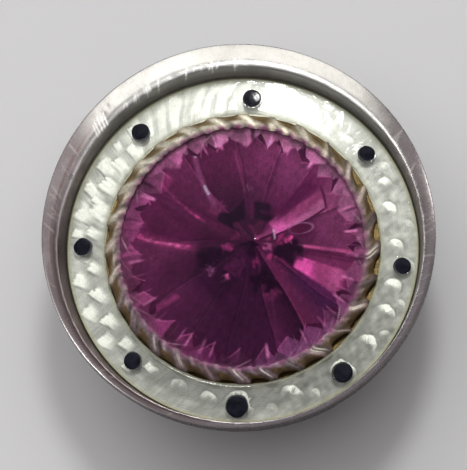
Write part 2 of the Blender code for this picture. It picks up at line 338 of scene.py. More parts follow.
def worn_metal(name, light, dark, tarnish, rough, across, along, stain=0.5, grain=1.0):
    """Old metal: tarnish in patches, fine scratches across and along the turned direction.

    across and along are the depths of the scratches, stain the strength of the tarnish in the
    patches, grain the depth of the pitting.
    """
    mat = Look(name)
    ring = mat.attr("ring", "Vector")
    pos = mat.pos()
    big = mat.noise(pos, scale=0.55, detail=4, rough=0.6, warp=0.6)
    mid = mat.noise(pos, scale=2.6, detail=5, rough=0.65, warp=0.3)
    fine = mat.noise(pos, scale=16, detail=3, rough=0.6)
    wide = mat.noise(mat.scale(ring, (5, 5, 0.75)), scale=2.6, rough=0.55, warp=0.15)
    hair = mat.noise(mat.scale(ring, (9, 9, 1.6)), scale=2.4, detail=1, warp=0.3)
    turned = mat.noise(
        mat.scale(ring, (0.22, 0.22, 15)), scale=1.6, detail=3, rough=0.6, warp=0.08
    )
    colour = mat.tint(
        mat.mix(mat.ramp(big, (0.35, 0.68)), light, dark),
        (mat.ramp(mid, (0.50, 0.74)), stain, tarnish),
        (mat.ramp(wide, (0.52, 0.70)), 0.22, light),
        (mat.ramp(turned, (0.42, 0.66)), 0.18, tarnish),
    )
    roughness = mat.add(
        mat.ramp(mid, (0.3, 0.75), to=(rough * 0.78, rough * 1.35)),
        0.0,
        mat.ramp(hair, (0.55, 0.75), to=(0, 0.10)),
        mat.ramp(fine, (0.4, 0.8), to=(-0.02, 0.05)),
    )
    height = mat.weigh(
        (mat.ramp(wide, (0.44, 0.62)), across * 0.3),
        (mat.ramp(hair, (0.58, 0.66)), across * 0.25),
        (turned, along * 0.3),
        (fine, 0.05 * grain),
        (mid, 0.35 * grain),
    )
    return mat.done(mat.metal(colour, roughness, mat.bump(height, depth=0.012)))


# by slot; no piece wears worn_silver here, as the rim has a look of its own below
METAL_SETTINGS = {
    "worn_silver": dict(
        light=(0.60, 0.545, 0.535), dark=(0.46, 0.405, 0.405), tarnish=(0.30, 0.225, 0.225),
        rough=0.235, across=0.55, along=0.30, stain=0.45,
    ),
    "dull_silver": dict(
        light=(0.50, 0.475, 0.455), dark=(0.36, 0.335, 0.32), tarnish=(0.155, 0.125, 0.115),
        rough=0.36, across=0.25, along=1.1, stain=0.75, grain=1.5,
    ),
    "shank_wire": dict(
        light=(0.56, 0.52, 0.47), dark=(0.42, 0.37, 0.32), tarnish=(0.20, 0.145, 0.10),
        rough=0.30, across=0.5, along=0.7, stain=0.7, grain=1.3,
    ),
    "solder": dict(
        light=(0.52, 0.52, 0.52), dark=(0.38, 0.38, 0.39), tarnish=(0.19, 0.185, 0.18),
        rough=0.40, across=0.1, along=0.1, stain=0.8, grain=2.4,
    ),
    "gilt_brass": dict(
        light=(0.235, 0.165, 0.062), dark=(0.105, 0.07, 0.03), tarnish=(0.07, 0.045, 0.026),
        rough=0.34, across=0.5, along=0.3, stain=0.9, grain=1.2,
    ),
    "foil": dict(
        light=(0.82, 0.76, 0.78), dark=(0.62, 0.52, 0.57), tarnish=(0.30, 0.18, 0.22),
        rough=0.18, across=0.3, along=0.3, stain=0.4, grain=2.0,
    ),
}
METALS = {slot: worn_metal(slot + "_look", **kw) for slot, kw in METAL_SETTINGS.items()}


# ---------------------------------------------------------------- rim

RIM_R, CREST_Z = 8.0, 2.42
EDGE_R = RIM_R - 0.012              # where the outer wall meets the bead
BEZEL_R, LEDGE_R, LEDGE_Z = 7.17, 6.60, 1.43
RIM_AROUND, BEAD_STEPS = 1280, 60
# sections as (r, z): up the outer wall, inward along the ledge inside the bezel and down its
# inner edge (both on the face's centre), and back under it
RIM_WALL = (
    (7.20, 0.06), (7.225, 0.015), (7.28, 0.0), (7.40, 0.0), (7.52, 0.0), (7.60, 0.014),
    (7.67, 0.05), (7.72, 0.11), (7.755, 0.20), (7.79, 0.42), (7.825, 0.65), (7.86, 0.88),
    (7.90, 1.10), (7.945, 1.33), (7.975, 1.54), (7.986, 1.66), (EDGE_R, 1.74), (EDGE_R, 1.82),
)
RIM_LEDGE = (
    (BEZEL_R, 1.52), (7.168, 1.48), (7.15, 1.44), (7.10, LEDGE_Z), (6.90, LEDGE_Z),
    (6.70, LEDGE_Z), (6.62, 1.42), (LEDGE_R, 1.38), (LEDGE_R, 1.0), (LEDGE_R, 0.50), (6.63, 0.42),
)
RIM_UNDER = ((7.10, 0.40), (7.18, 0.38), (7.20, 0.30))
# the bead slopes up from its outer edge to a crest near the inside, then drops steeply to the
# enamel: place across the slope, and slope in degrees
SLOPE_AT = (0.0, 0.12, 0.56, 0.72, 0.84, 0.92, 1.0)
SLOPES = (35.0, 31.0, 25.0, 17.0, 8.0, -2.0, -14.0)
# the width of the steep inner side going round
WALL_AT = (0, 40, 75, 105, 135, 160, 180, 235, 260, 360)
WALL_WIDTH = (0.20, 0.22, 0.23, 0.28, 0.24, 0.22, 0.34, 0.34, 0.20, 0.20)
# the steep inner side: place across it, share of the drop
WALL_DROP = (
    (0.03, 0.034), (0.08, 0.095), (0.22, 0.24), (0.40, 0.43),
    (0.60, 0.63), (0.80, 0.83), (0.94, 0.955), (0.99, 1.0),
)
# dents on the bead: degrees, place across it, size, depth
DENTS = (
    (137, 0.42, 0.16, 0.020), (134.2, 0.30, 0.10, 0.012), (88, 0.62, 0.14, 0.010),
    (163, 0.35, 0.20, 0.012), (205, 0.55, 0.22, 0.012), (24, 0.40, 0.18, 0.010),
    (318, 0.40, 0.15, 0.012), (62, 0.72, 0.12, 0.008), (112, 0.55, 0.16, 0.010),
)
# random scratches: count, then ranges of angle, start and end across the bead (0 outside,
# 1 inside), lean and strength
SCRATCHES = (
    (22, (88, 130), (0.48, 0.60), (0.66, 0.84), (0.5, 2.6), (0.25, 0.85)),
    (8, (146, 176), (0.05, 0.35), (0.40, 0.62), (1.0, 4.0), (0.05, 0.16)),
    (44, (0, 360), (0.05, 0.5), (0.40, 0.75), (-2.0, 3.0), (0.05, 0.20)),
)


def bead_rings(turn):
    """Rings of the bead from outside to inside, each with its place across (0 to 1)."""
    outer, inner = circle(turn, EDGE_R, 0.0), circle(turn, BEZEL_R, 0.0, FACE)
    width = np.linalg.norm(outer - inner, axis=1)
    corner = 0.085 * np.clip(width / 0.6, 0.45, 1.0)
    wall = np.interp(np.degrees(turn), WALL_AT, WALL_WIDTH) * np.clip(width / 0.85, 0.55, 1.0)
    corner_end = math.radians(90.0 - SLOPES[0])
    corner_x, corner_z = corner * (1 - math.cos(corner_end)), corner * math.sin(corner_end)
    span = width - corner_x - wall
    place = np.linspace(0.0, 1.0, BEAD_STEPS + 1)
    tilt = np.tan(np.radians(np.interp(place, SLOPE_AT, SLOPES)))
    rise = np.concatenate([[0.0], np.cumsum((tilt[1:] + tilt[:-1]) / 2 / BEAD_STEPS)])
    base_z = CREST_Z - 0.014 - corner_z - span * rise.max()
    worn = 0.008 * ripple(turn, 11, 2, 9) + 0.003 * ripple(turn, 12, 20, 60)

    def ring(x, z):
        t = (x / width)[:, None]
        points = outer * (1 - t) + inner * t
        points[:, 2] = z
        return points

    rings = []
    for a in np.linspace(0.0, corner_end, 8)[:-1]:
        x, z = corner * (1 - math.cos(a)), base_z + corner * math.sin(a)
        rings.append((ring(x, z), 0.0005 + 0.01 * a))
    for s, up in zip(place, rise):
        x = corner_x + span * s
        z = base_z + corner_z + span * up + worn * math.sin(math.pi * (0.05 + 0.9 * s))
        rings.append((ring(x, z), float(np.mean(x / width))))
    top_x, top_z = corner_x + span, base_z + corner_z + span * rise[-1]
    for across, drop in WALL_DROP:
        x = top_x + wall * across
        rings.append((ring(x, top_z * (1 - drop) + 1.62 * drop), float(np.mean(x / width))))
    return rings


def rim_scratches_and_glints(deg, across):
    # five long ones side by side, then the random ones
    marks = [
        (136.4 + 1.25 * i + 0.2 * math.sin(3.0 * i), 0.34 + 0.04 * math.sin(2.0 * i), 0.72,
         2.2, 0.95 - 0.08 * i)
        for i in range(5)
    ]
    draw = rng(77)
    for count, *ranges in SCRATCHES:
        marks += [[draw.uniform(*r) for r in ranges] for _ in range(count)]
    scratch = np.zeros(np.broadcast(deg, across).shape)
    for angle, start, end, lean, power in marks:
        off = away(deg - angle, lean * (across - start) / max(end - start, 0.05) * 0.5)
        ends = smooth(start - 0.04, start + 0.03, across) * smooth(end + 0.05, end - 0.04, across)
        scratch = np.maximum(scratch, power * np.clip(1 - (off / 0.42) ** 2, 0, 1) * ends)
    return scratch


def rim_look():
    """Worn silver of the bead: soft tarnish, scratches across it, a brown streak at the left, and
    light and shade painted round it.
    """
    mat = Look("rim_silver_look")
    ring = mat.attr("ring", "Vector")
    across = mat.attr("across")
    top, low_left = mat.attr("top"), mat.attr("lower_left")
    pos = mat.pos()
    big = mat.noise(pos, scale=0.5, detail=4, rough=0.6, warp=0.6)
    mid = mat.noise(pos, scale=2.3, detail=5, rough=0.62, warp=0.3)
    fine = mat.noise(pos, scale=15, detail=3, rough=0.6)
    wide = mat.noise(mat.scale(ring, (5.2, 5.2, 0.8)), scale=2.6, rough=0.55, warp=0.2)
    hair = mat.noise(mat.scale(ring, (11, 11, 1.1)), scale=2.6, detail=1, warp=0.15)
    turned = mat.noise(mat.scale(ring, (0.2, 0.2, 13)), scale=1.5, detail=3, rough=0.6, warp=0.08)
    colour = mat.tint(
        mat.mix(mat.ramp(big, (0.36, 0.66)), (0.63, 0.60, 0.585), (0.50, 0.455, 0.45)),
        (mat.ramp(mid, (0.50, 0.74)), 0.40, (0.33, 0.25, 0.25)),
        (mat.ramp(turned, (0.46, 0.64)), 0.20, (0.36, 0.27, 0.26)),
    )
    # the brown streak follows a wavering line a little outside the bead's middle
    off = mat.math("SUBTRACT", across, mat.ramp(turned, (0.3, 0.7), to=(0.40, 0.47)))
    off = mat.math("POWER", mat.mul(mat.math("ABSOLUTE", off), 14.0), 2.0)
    streak = mat.math("SUBTRACT", 1.0, off, clamp=True)
    streak = mat.mul(streak, mat.attr("left"), mat.ramp(mid, (0.3, 0.6), to=(0.35, 0.9)))
    colour = mat.mix(streak, colour, (0.36, 0.23, 0.215))
    # a paler, greyer copy of the silver, laid over the top where the lights fall: a lit copy of its
    # colour
    pale = mat.mix(mat.ramp(big, (0.36, 0.66)), (0.555, 0.56, 0.53), (0.47, 0.472, 0.445))
    # painted shade down the inner side of the bead, strongest from the right over the top to the lower
    # left
    inner = mat.mul(
        mat.ramp(mat.math("SUBTRACT", across, mat.mul(top, 0.10)), (0.66, 0.78)),
        mat.attr("wall_shade"),
        mat.ramp(mid, (0.25, 0.6), to=(0.75, 1.0)),
    )
    # painted shade on the crest from the left round the bottom to the lower right, heaviest at the
    # lower left, and a grey band of painted shade on the inner half of the bead at the top
    crest = mat.mul(mat.ramp(across, (0.42, 0.54)), mat.attr("crest"))
    crest_top = mat.mul(mat.ramp(across, (0.50, 0.64)), top)
    # painted light on the middle of the bead at the lower right
    low_right = mat.mul(
        mat.ramp(across, (0.16, 0.34)), mat.ramp(across, (0.72, 0.56)), mat.attr("lower_right")
    )
    colour = mat.tint(
        colour,
        (top, 0.85, pale),
        (inner, 0.88, (0.175, 0.140, 0.150)),
        (crest, 0.85, (0.15, 0.118, 0.125)),
        (crest_top, 0.72, (0.215, 0.205, 0.205)),
        (mat.ramp(across, (0.006, 0.0)), 0.55, (0.74, 0.715, 0.69)),            # outer wall
        (low_right, 0.85, (0.84, 0.80, 0.83)),
        # at the lower left, painted shade over the bead and a painted highlight along its outermost
        # edge
        (mat.mul(mat.ramp(across, (0.10, 0.17)), low_left), 0.55, (0.24, 0.19, 0.185)),
        (mat.mul(mat.ramp(across, (0.12, 0.07)), low_left), 0.85, (0.96, 0.94, 0.90)),
        (mat.ramp(across, (0.93, 1.0)), 0.75, (0.10, 0.08, 0.07)),              # seam inside
    )
    roughness = mat.add(
        mat.ramp(mid, (0.3, 0.75), to=(0.20, 0.32)),
        mat.ramp(hair, (0.56, 0.72), to=(0, 0.08)),
        mat.mul(inner, 0.18),
        mat.mul(crest, 0.12),
        mat.mul(crest_top, 0.16),
    )
    where = mat.ramp(mat.noise(pos, scale=0.9, detail=3, rough=0.6), (0.50, 0.68))
    height = mat.weigh(
        (mat.mul(mat.ramp(wide, (0.54, 0.68)), where), 0.06),
        (mat.mul(mat.ramp(hair, (0.64, 0.70)), where), 0.06),
        (turned, 0.06),
        (fine, 0.015),
        (mid, 0.08),
    )
    metal = mat.metal(colour, roughness, mat.bump(height, depth=0.008))
    white = mat.node(
        "BsdfPrincipled", Base_Color=(0.90, 0.88, 0.84), Roughness=0.45, Specular_IOR_Level=0.4
    )
    # scratches shown in a dull white: partly real wear, partly painted glints of the light they catch,
    # the strongest at the top and upper left
    mark = mat.mul(mat.attr("scratch"), mat.ramp(fine, (0.25, 0.6), to=(0.45, 1.0)))
    return mat.done(mat.mix_shader(mark, metal, white))


def make_rim():
    turn = turns(RIM_AROUND)
    rings = [(circle(turn, r, z), 0.0) for r, z in RIM_WALL] + bead_rings(turn)
    rings += [(circle(turn, r, z, FACE), 1.0) for r, z in RIM_LEDGE]
    rings += [(circle(turn, r, z), 1.0) for r, z in RIM_UNDER]
    points = np.stack([ring for ring, _ in rings], 1)
    across = np.array([place for _, place in rings])[None, :]
    step = np.linalg.norm(np.diff(points, axis=1), axis=-1)
    length = np.concatenate([np.zeros((RIM_AROUND, 1)), np.cumsum(step, 1)], 1)
    turn = turn[:, None]
    deg = np.degrees(turn)
    on_bead = ((across > 0.0) & (across < 1.0)).astype(float)
    for angle, place, size, depth in DENTS:
        dent = np.exp(-((np.radians(away(deg, angle)) * RIM_R / size) ** 2))
        dent = dent * np.exp(-(((across - place) / (size * 0.9)) ** 2))
        points[:, :, 2] -= depth * dent * on_bead
    # how strong the painted shade on the crest is, heaviest at the lower left
    crest = 0.62 + 0.38 * window(deg, 172, 236, 20)
    fields = {
        "across": across,
        "left": window(deg, 138, 246, 24),
        "scratch": rim_scratches_and_glints(deg, across),
        "top": window(deg, 36, 146, 26),
        "crest": window(deg, 160, 310, 24) * crest,
        "lower_right": window(deg, 262, 352, 20),
        "lower_left": window(deg, 190, 243, 14),
        # painted shade on the inner wall, stronger from the right over the top to the lower left
        "wall_shade": 0.55 + 0.45 * window(deg, -10, 218, 24),
    }
    attrs = {"ring": ring_coords(turn, RIM_R, length)}
    attrs.update({key: np.broadcast_to(v, length.shape) for key, v in fields.items()})
    make("rim", points, ring_faces(*length.shape, True), [rim_look()],
         "rim_shell", attrs=attrs, sharp=40.0)


make_rim()


# ---------------------------------------------------------------- back plate and shank

BACK_OUTLINE = (
    (1.30, 0.03), (6.6, 0.03), (7.08, 0.03), (7.12, 0.04), (7.16, 0.09), (7.17, 0.14),
    (7.17, 0.37), (1.30, 0.37),
)
BACK_DENTS = ((3.9, 3.1, 0.9, 0.05), (-4.6, -2.2, 1.2, 0.05), (-2.1, 4.9, 0.5, 0.04))  # x y size depth


def back_warp(turn, r, z):
    """Turning grooves and dents in the rear surface, hollowed towards the middle."""
    x, y = r * np.cos(turn), r * np.sin(turn)
    dome = 0.05 * (1 - (r / 7.1) ** 2)
    groove = 0.004 * np.cos(TAU * r / 0.21) + 0.003 * np.cos(TAU * r / 0.13)
    dent = 0.012 * cloud(x, y, 31, 1.6) + 0.004 * cloud(x, y, 32, 0.4)
    for dent_x, dent_y, size, depth in BACK_DENTS:
        dent = dent + depth * np.exp(-(((x - dent_x) ** 2 + (y - dent_y) ** 2) / size**2))
    return r, np.where(z < 0.05, z + smooth(7.16, 6.7, r) * (dome + groove + 0.02 + dent), z)


lathe("back", BACK_OUTLINE, 0.055, 420, "back_plate", "dull_silver", warp=back_warp)

PLATE_AROUND, PLATE_HOLE_R, PLATE_R, PLATE_Z = 260, 0.49, 2.60, -0.24


def make_shank_plate():
    """Disc under the back: its hole is on the face's centre, its edge on the rim's."""
    turn = turns(PLATE_AROUND)
    # place from hole (0) to edge (1), and height
    section = [(0.0, 0.01), (0.0, -0.225), (0.06, PLATE_Z), (0.2, PLATE_Z)]
    section += [(t, PLATE_Z) for t in np.linspace(0.26, 0.94, 26)]
    section += [(0.965, -0.232), (0.985, -0.205), (0.997, -0.16), (1.0, -0.10), (1.0, -0.02),
                (0.99, 0.01), (0.5, 0.01)]
    rings = []
    for t, z in section:
        x = (FACE_X + PLATE_HOLE_R * np.cos(turn)) * (1 - t) + PLATE_R * np.cos(turn) * t
        y = (FACE_Y + PLATE_HOLE_R * np.sin(turn)) * (1 - t) + PLATE_R * np.sin(turn) * t
        wobble = np.zeros(PLATE_AROUND)
        if z < -0.2:
            wobble = 0.006 * cloud(x, y, 41, 0.5) * (0.2 + 0.8 * (t < 0.97))
            wobble = wobble + 0.010 * smooth(0.9, 0.0, t)
        rings.append(np.stack([x, y, z + wobble], -1))
    points = np.stack(rings, 1)
    x, y = points[..., 0], points[..., 1]
    make("shank_plate_disc", points, ring_faces(PLATE_AROUND, len(section), True)[:, ::-1],
         [METALS["dull_silver"]], "shank_plate",
         attrs={"ring": ring_coords(np.arctan2(y, x), 6, np.hypot(x, y))}, sharp=40.0)


make_shank_plate()

# spread head below, shaft, and hammered tail above
RIVET_OUTLINE = (
    (0.0, -0.43), (0.30, -0.425), (0.52, -0.395), (0.65, -0.345), (0.70, -0.285), (0.69, -0.26),
    (0.45, -0.26), (0.45, 0.62), (0.85, 0.62), (0.85, 0.67), (0.72, 0.70), (0.45, 0.74),
    (0.0, 0.76),
)


def rivet_warp(turn, r, z):
    head = z + 0.012 * ripple(turn, 52, 2, 6) * smooth(0.1, 0.4, r) + 0.006
    wide = r * (1 + 0.025 * ripple(turn, 51, 3, 9))
    return np.where(z < -0.27, wide, r), np.where(z < -0.3, head, z)


lathe("rivet", RIVET_OUTLINE, 0.05, 96, "centre_rivet", "gilt_brass",
      centre=FACE, warp=rivet_warp, closed=False)

LOOP_R, LOOP_Z, WIRE_R, FOOT_Z = 1.70, -1.55, 0.42, -0.26
WIRE_AROUND = 40
WIRE_WEAR = 0.075                   # wear inside the bottom of the loop


def make_wire_loop():
    """U of wire in the XZ plane, worn thin inside its lowest part."""
    path = [(-LOOP_R, z) for z in np.linspace(FOOT_Z, LOOP_Z, 26)[:-1]]
    path += [
        (LOOP_R * math.cos(a), LOOP_Z + LOOP_R * math.sin(a))
        for a in np.linspace(math.pi, TAU, 90)
    ]
    path += [(LOOP_R, z) for z in np.linspace(LOOP_Z, FOOT_Z, 26)[1:]]
    path = np.array(path)
    along = np.gradient(path, axis=0)
    along /= np.linalg.norm(along, axis=1)[:, None]
    out_x, out_z = along[:, 1:], -along[:, :1]          # points out of the loop
    x, z = path[:, :1], path[:, 1:]
    turn = turns(WIRE_AROUND)[None, :]
    length = arc_length(path)[:, None]
    low = np.exp(-(((z - (LOOP_Z - LOOP_R)) / 0.75) ** 2))
    r = WIRE_R - 0.004 + 0.005 * ripple(turn + 0.5 * length, 61, 2, 5)
    r = r + 0.004 * np.sin(2.3 * length)
    r = r - WIRE_WEAR * low * np.clip(-np.cos(turn), 0, 1) ** 1.5
    off = r * np.cos(turn)
    height = np.maximum(z + out_z * off, -(LOOP_R + WIRE_R - LOOP_Z))
    points = np.stack([x + out_x * off, r * np.sin(turn), height], -1)
    last = (len(path) - 1) * WIRE_AROUND
    faces = ring_faces(len(path), WIRE_AROUND, True)[:last].tolist()
    faces.append(list(range(WIRE_AROUND)))
    faces.append([last + j for j in reversed(range(WIRE_AROUND))])
    make("wire_loop", points, faces, [METALS["shank_wire"]], "shank_loop",
         attrs={"ring": ring_coords(turn, 1.2, length)}, sharp=50.0)


make_wire_loop()

# fillet round a foot of the loop: radius, depth below the foot
SOLDER_OUTLINE = [(r, FOOT_Z - drop) for r, drop in (
    (0.45, 0.0), (0.77, 0.0), (0.72, 0.03), (0.64, 0.075), (0.58, 0.13),
    (0.54, 0.20), (0.51, 0.29), (0.495, 0.37), (0.47, 0.405), (0.45, 0.38),
)]
for n, side in enumerate((-1.0, 1.0), start=1):

    def solder_warp(turn, r, z, n=n):
        grow = smooth(0.46, 0.55, r)
        r = r + grow * (0.035 * ripple(turn, 70 + n, 2, 7) + 0.012 * ripple(turn, 80 + n, 9, 20))
        low = smooth(FOOT_Z - 0.02, FOOT_Z - 0.12, z)
        return r, z + grow * low * 0.03 * ripple(turn, 90 + n, 2, 6)

    lathe("solder_%d" % n, SOLDER_OUTLINE, 0.04, 90, "shank_solder_%d" % n, "solder",
          centre=(side * LOOP_R, 0.0), warp=solder_warp, flip=True, sharp=50.0)


# ---------------------------------------------------------------- engraved ground

GROUND_IN, GROUND_OUT, GROUND_LOW = 5.32, 7.12, 1.46
GROUND_AROUND, GROUND_ACROSS = 1500, 66
# painted light and shade of the ring between its bright lobes, going round: lightest at the upper
# right, where the lights fall, and darkest along the bottom
TONE_AT = (
    0, 20, 40, 55, 66, 80, 95, 110, 125, 140, 160, 180, 200, 220, 240, 260, 280, 300, 320, 340, 360,
)
TONE = (
    177, 187, 196, 224, 241, 242, 224, 221, 214, 192, 180, 174, 170, 156, 142, 139, 138, 138,
    143, 157, 177,
)
# rows of folds, painted as bright wedges of highlight: pitch in degrees, offset in pitches, strength,
# inner and outer radius
FOLDS = ((6.3, 0.0, 1.0, 5.7, 6.75), (5.1, 0.4, 0.75, 6.15, 7.0))
# slanting strokes, painted as highlights: degrees, distance out, length, half width, lean in degrees
STROKES = (
    (137, 6.10, 0.42, 0.19, -58), (144.5, 6.06, 0.50, 0.22, -54), (153.5, 6.03, 0.56, 0.26, -48),
    (164, 6.00, 0.60, 0.30, -40), (148.5, 6.60, 0.44, 0.20, -52), (157.5, 6.62, 0.48, 0.22, -46),
    (167, 6.60, 0.52, 0.24, -38), (172.8, 6.12, 0.44, 0.20, -30), (186.5, 6.04, 0.42, 0.22, -34),
    (197.5, 6.06, 0.46, 0.24, -40), (208.5, 6.06, 0.44, 0.22, -42), (219, 6.08, 0.40, 0.20, -46),
    (190.6, 6.64, 0.46, 0.25, -30), (202.5, 6.64, 0.48, 0.25, -36), (214, 6.62, 0.46, 0.24, -44),
    (226, 6.66, 0.30, 0.18, -50), (232, 6.10, 0.28, 0.16, -50), (173.5, 6.70, 0.34, 0.16, -24),
    (132, 6.62, 0.36, 0.15, -60), (139.5, 6.70, 0.32, 0.14, -56), (183, 6.40, 0.26, 0.13, -34),
    (196, 6.34, 0.22, 0.11, -40), (207.5, 6.34, 0.22, 0.10, -42), (160.5, 6.32, 0.24, 0.11, -46),
)
# crescents, painted as highlights: degrees, distance out, radius, strength, thickness
CRESCENTS = (
    (-14.8, 6.26, 0.34, 0.80, 0.20), (-25.4, 6.34, 0.42, 0.95, 0.15),
    (-38.4, 6.36, 0.44, 1.0, 0.16), (-52, 6.52, 0.55, 0.95, 0.12), (-72, 6.32, 0.44, 0.85, 0.15),
    (-92, 6.48, 0.60, 0.75, 0.13), (-103, 6.34, 0.36, 0.70, 0.11), (-115, 6.24, 0.36, 0.42, 0.12),
    (-64, 6.62, 0.22, 0.50, 0.12), (-32, 6.76, 0.22, 0.50, 0.12), (0.8, 6.18, 0.32, 0.90, 0.26),
    (15, 6.10, 0.32, 0.95, 0.28), (24.5, 6.32, 0.32, 0.55, 0.26), (8, 6.72, 0.26, 0.40, 0.18),
    (-20, 6.76, 0.22, 0.45, 0.14), (-80, 6.70, 0.24, 0.30, 0.12), (-126, 6.16, 0.24, 0.45, 0.16),
    (-7, 6.50, 0.46, 0.45, 0.10), (30, 6.62, 0.30, 0.40, 0.20), (46, 6.10, 0.30, 0.40, 0.24),
)


def lay_lobe(level, height, amount, value, lift):
    """Lighten the ground towards value and raise it to lift."""
    return level * (1 - amount) + value * amount, np.maximum(height, lift)


def cut_folds(at, level, height):
    """Folds over the top, running outward: painted highlights in bright wedges, with thin painted
    shade at their edges.
    """
    deg, r = at.deg, at.r
    flow = deg + 4.2 * (r - 6.2) + 0.7 * np.sin(r * 3.1 + np.radians(deg) * 6.0)
    flow = flow + 0.9 * ripple(at.turn, 111, 7, 25)
    for pitch, offset, gain, low_r, high_r in FOLDS:
        cell = np.floor(flow / pitch + offset).astype(int)
        part = flow / pitch + offset - cell
        size = 0.55 + 0.45 * np.cos(cell * 2.39 + 0.7)
        shift = 0.12 * np.cos(cell * 1.7)
        wedge = smooth(0.0, 0.26, part) * smooth(1.0, 0.45 + 0.12 * np.sin(cell * 3.1), part)
        along = smooth(low_r + shift - 0.2, low_r + shift + 0.12, r)
        along = along * smooth(high_r + shift + 0.14, high_r + shift - 0.16, r)
        shade = smooth(0.20, 0.02, np.minimum(part, 1.15 - part))
        level = level + at.top * gain * (60.0 * size * wedge * along)
        level = level - at.top * gain * 5.0 * shade * along
    # painted shade over the top, heaviest towards the rim, and painted light on the inner part from 98
    # to 140 degrees
    level = level - 14.0 * at.top - 20.0 * at.top * smooth(6.70, 7.0, r) * (0.7 + 0.6 * at.blotch)
    level = level + 10.0 * at.top * window(deg, 98, 140, 20) * smooth(6.7, 6.2, r)
    thin = cloud(flow * 0.15, r * 0.16, 128, 0.06)
    wide = cloud(flow * 0.15 + 1.0, r * 0.20, 129, 0.16)
    level = level + at.top * (13.0 * wide + 9.0 * thin)
    return level, height + 0.005 * at.top * smooth(150.0, 250.0, level)


def cut_strokes(at, level, height):
    """Two staggered rows of strokes at the left, painted as highlights, sharp at their upper left,
    feathered beyond.
    """
    draw = rng(101)
    for deg, dist, length, half_width, lean in STROKES:
        a = math.radians(deg)
        x, y = at.x - dist * math.cos(a), at.y - dist * math.sin(a)
        lean = math.radians(lean + draw.uniform(-6, 6))
        along = (x * math.cos(lean) + y * math.sin(lean)) / (1.12 * length)
        across = (-x * math.sin(lean) + y * math.cos(lean)) / (1.14 * half_width)
        across = across - 0.25 * along + 0.16 * at.blotch
        grain = cloud(across * 0.9 + 3.0 * draw.uniform(), along * 0.12, 130 + int(deg), 0.22)
        along = along + 0.10 * grain + 0.12 * at.blotch
        sides = smooth(-1.16, -0.70, across)
        sides = sides * smooth(1.30, 0.20, across + 0.25 * np.clip(along, -1, 1))
        ends = smooth(-0.74, -0.42, along) * smooth(1.0, 0.0, along)
        gain = draw.uniform(0.80, 1.0)
        amount = np.clip(sides * ends * gain * (0.86 + 0.14 * grain), 0, 1)
        level, height = lay_lobe(level, height, amount, 272.0, 0.010 * amount)
        # shaded steps along the lower left edge and the blunt end
        shade = smooth(0.30, 0.02, np.abs(across + 1.12)) * smooth(-0.75, -0.4, along)
        level = level - 30.0 * gain * shade * smooth(0.8, 0.2, along)
        shade = smooth(0.14, 0.02, np.abs(along + 0.70)) * smooth(1.0, 0.5, np.abs(across))
        level = level - 20.0 * gain * shade
    return level, height


def cut_crescents(at, level, height):
    """Crescents at the right and along the bottom, painted as highlights bright on their upper right,
    with painted shade just outside them.
    """
    for deg, dist, radius, gain, thick in CRESCENTS:
        a = math.radians(deg)
        x, y = at.x - dist * math.cos(a), at.y - dist * math.sin(a)
        turn = away(np.degrees(np.arctan2(y, x)), 62.0)
        rays = cloud(np.radians(turn) * 0.35, 0.0, 160 + int(abs(deg)), 0.035)
        d = np.hypot(x, y) * (1 + 0.17 * at.blotch + 0.05 * rays + 0.07 * at.grain)
        arc = smooth(112.0, 30.0, np.abs(turn + 34.0 * at.soft + 20.0 * at.blotch))
        thin = thick * (0.55 + 0.85 * smooth(85.0, 15.0, np.abs(turn)))
        thin = thin * (1 + 0.6 * rays + 0.5 * at.grain)
        band = smooth(radius + 0.03, radius - 0.02, d)
        band = band * smooth(radius - thin - 0.22, radius - thin + 0.06, d)
        amount = np.clip(band * arc * gain * (0.86 + 0.16 * rays), 0, 1)
        lift = 0.010 * np.clip(1 - (d / radius) ** 2, 0, 1) * gain
        level, height = lay_lobe(level, height, amount, 284.0, lift)
        shade = smooth(radius + 0.14, radius + 0.03, d) * smooth(radius - 0.02, radius + 0.03, d)
        level = level - 22.0 * gain * arc * shade
    return level, height


def ground_look():
    """Bright-cut silver under the enamel, with its light, shade and highlights painted into its
    colour.
    """
    mat = Look("engraved_silver_look")
    pos = mat.pos()
    fine = mat.noise(pos, scale=9, detail=4, rough=0.6, warp=0.4)
    tone = mat.mul(mat.attr("lit_tone"), mat.ramp(fine, (0.3, 0.7), to=(0.90, 1.04)))
    colour = mat.mix(1.0, (0.965, 0.985, 0.925), tone, "MULTIPLY")
    colour = mat.tint(colour, (mat.attr("edge"), 0.55, (0.42, 0.42, 0.25)))
    normal = mat.bump(mat.noise(pos, scale=14), depth=0.006)
    body = mat.node(
        "BsdfPrincipled", Base_Color=colour, Roughness=0.5, Specular_IOR_Level=0.0, Normal=normal
    )
    shine = mat.metal(colour, mat.ramp(fine, (0.3, 0.7), to=(0.26, 0.40)), normal)
    return mat.done(mat.mix_shader(0.22, body, shine))


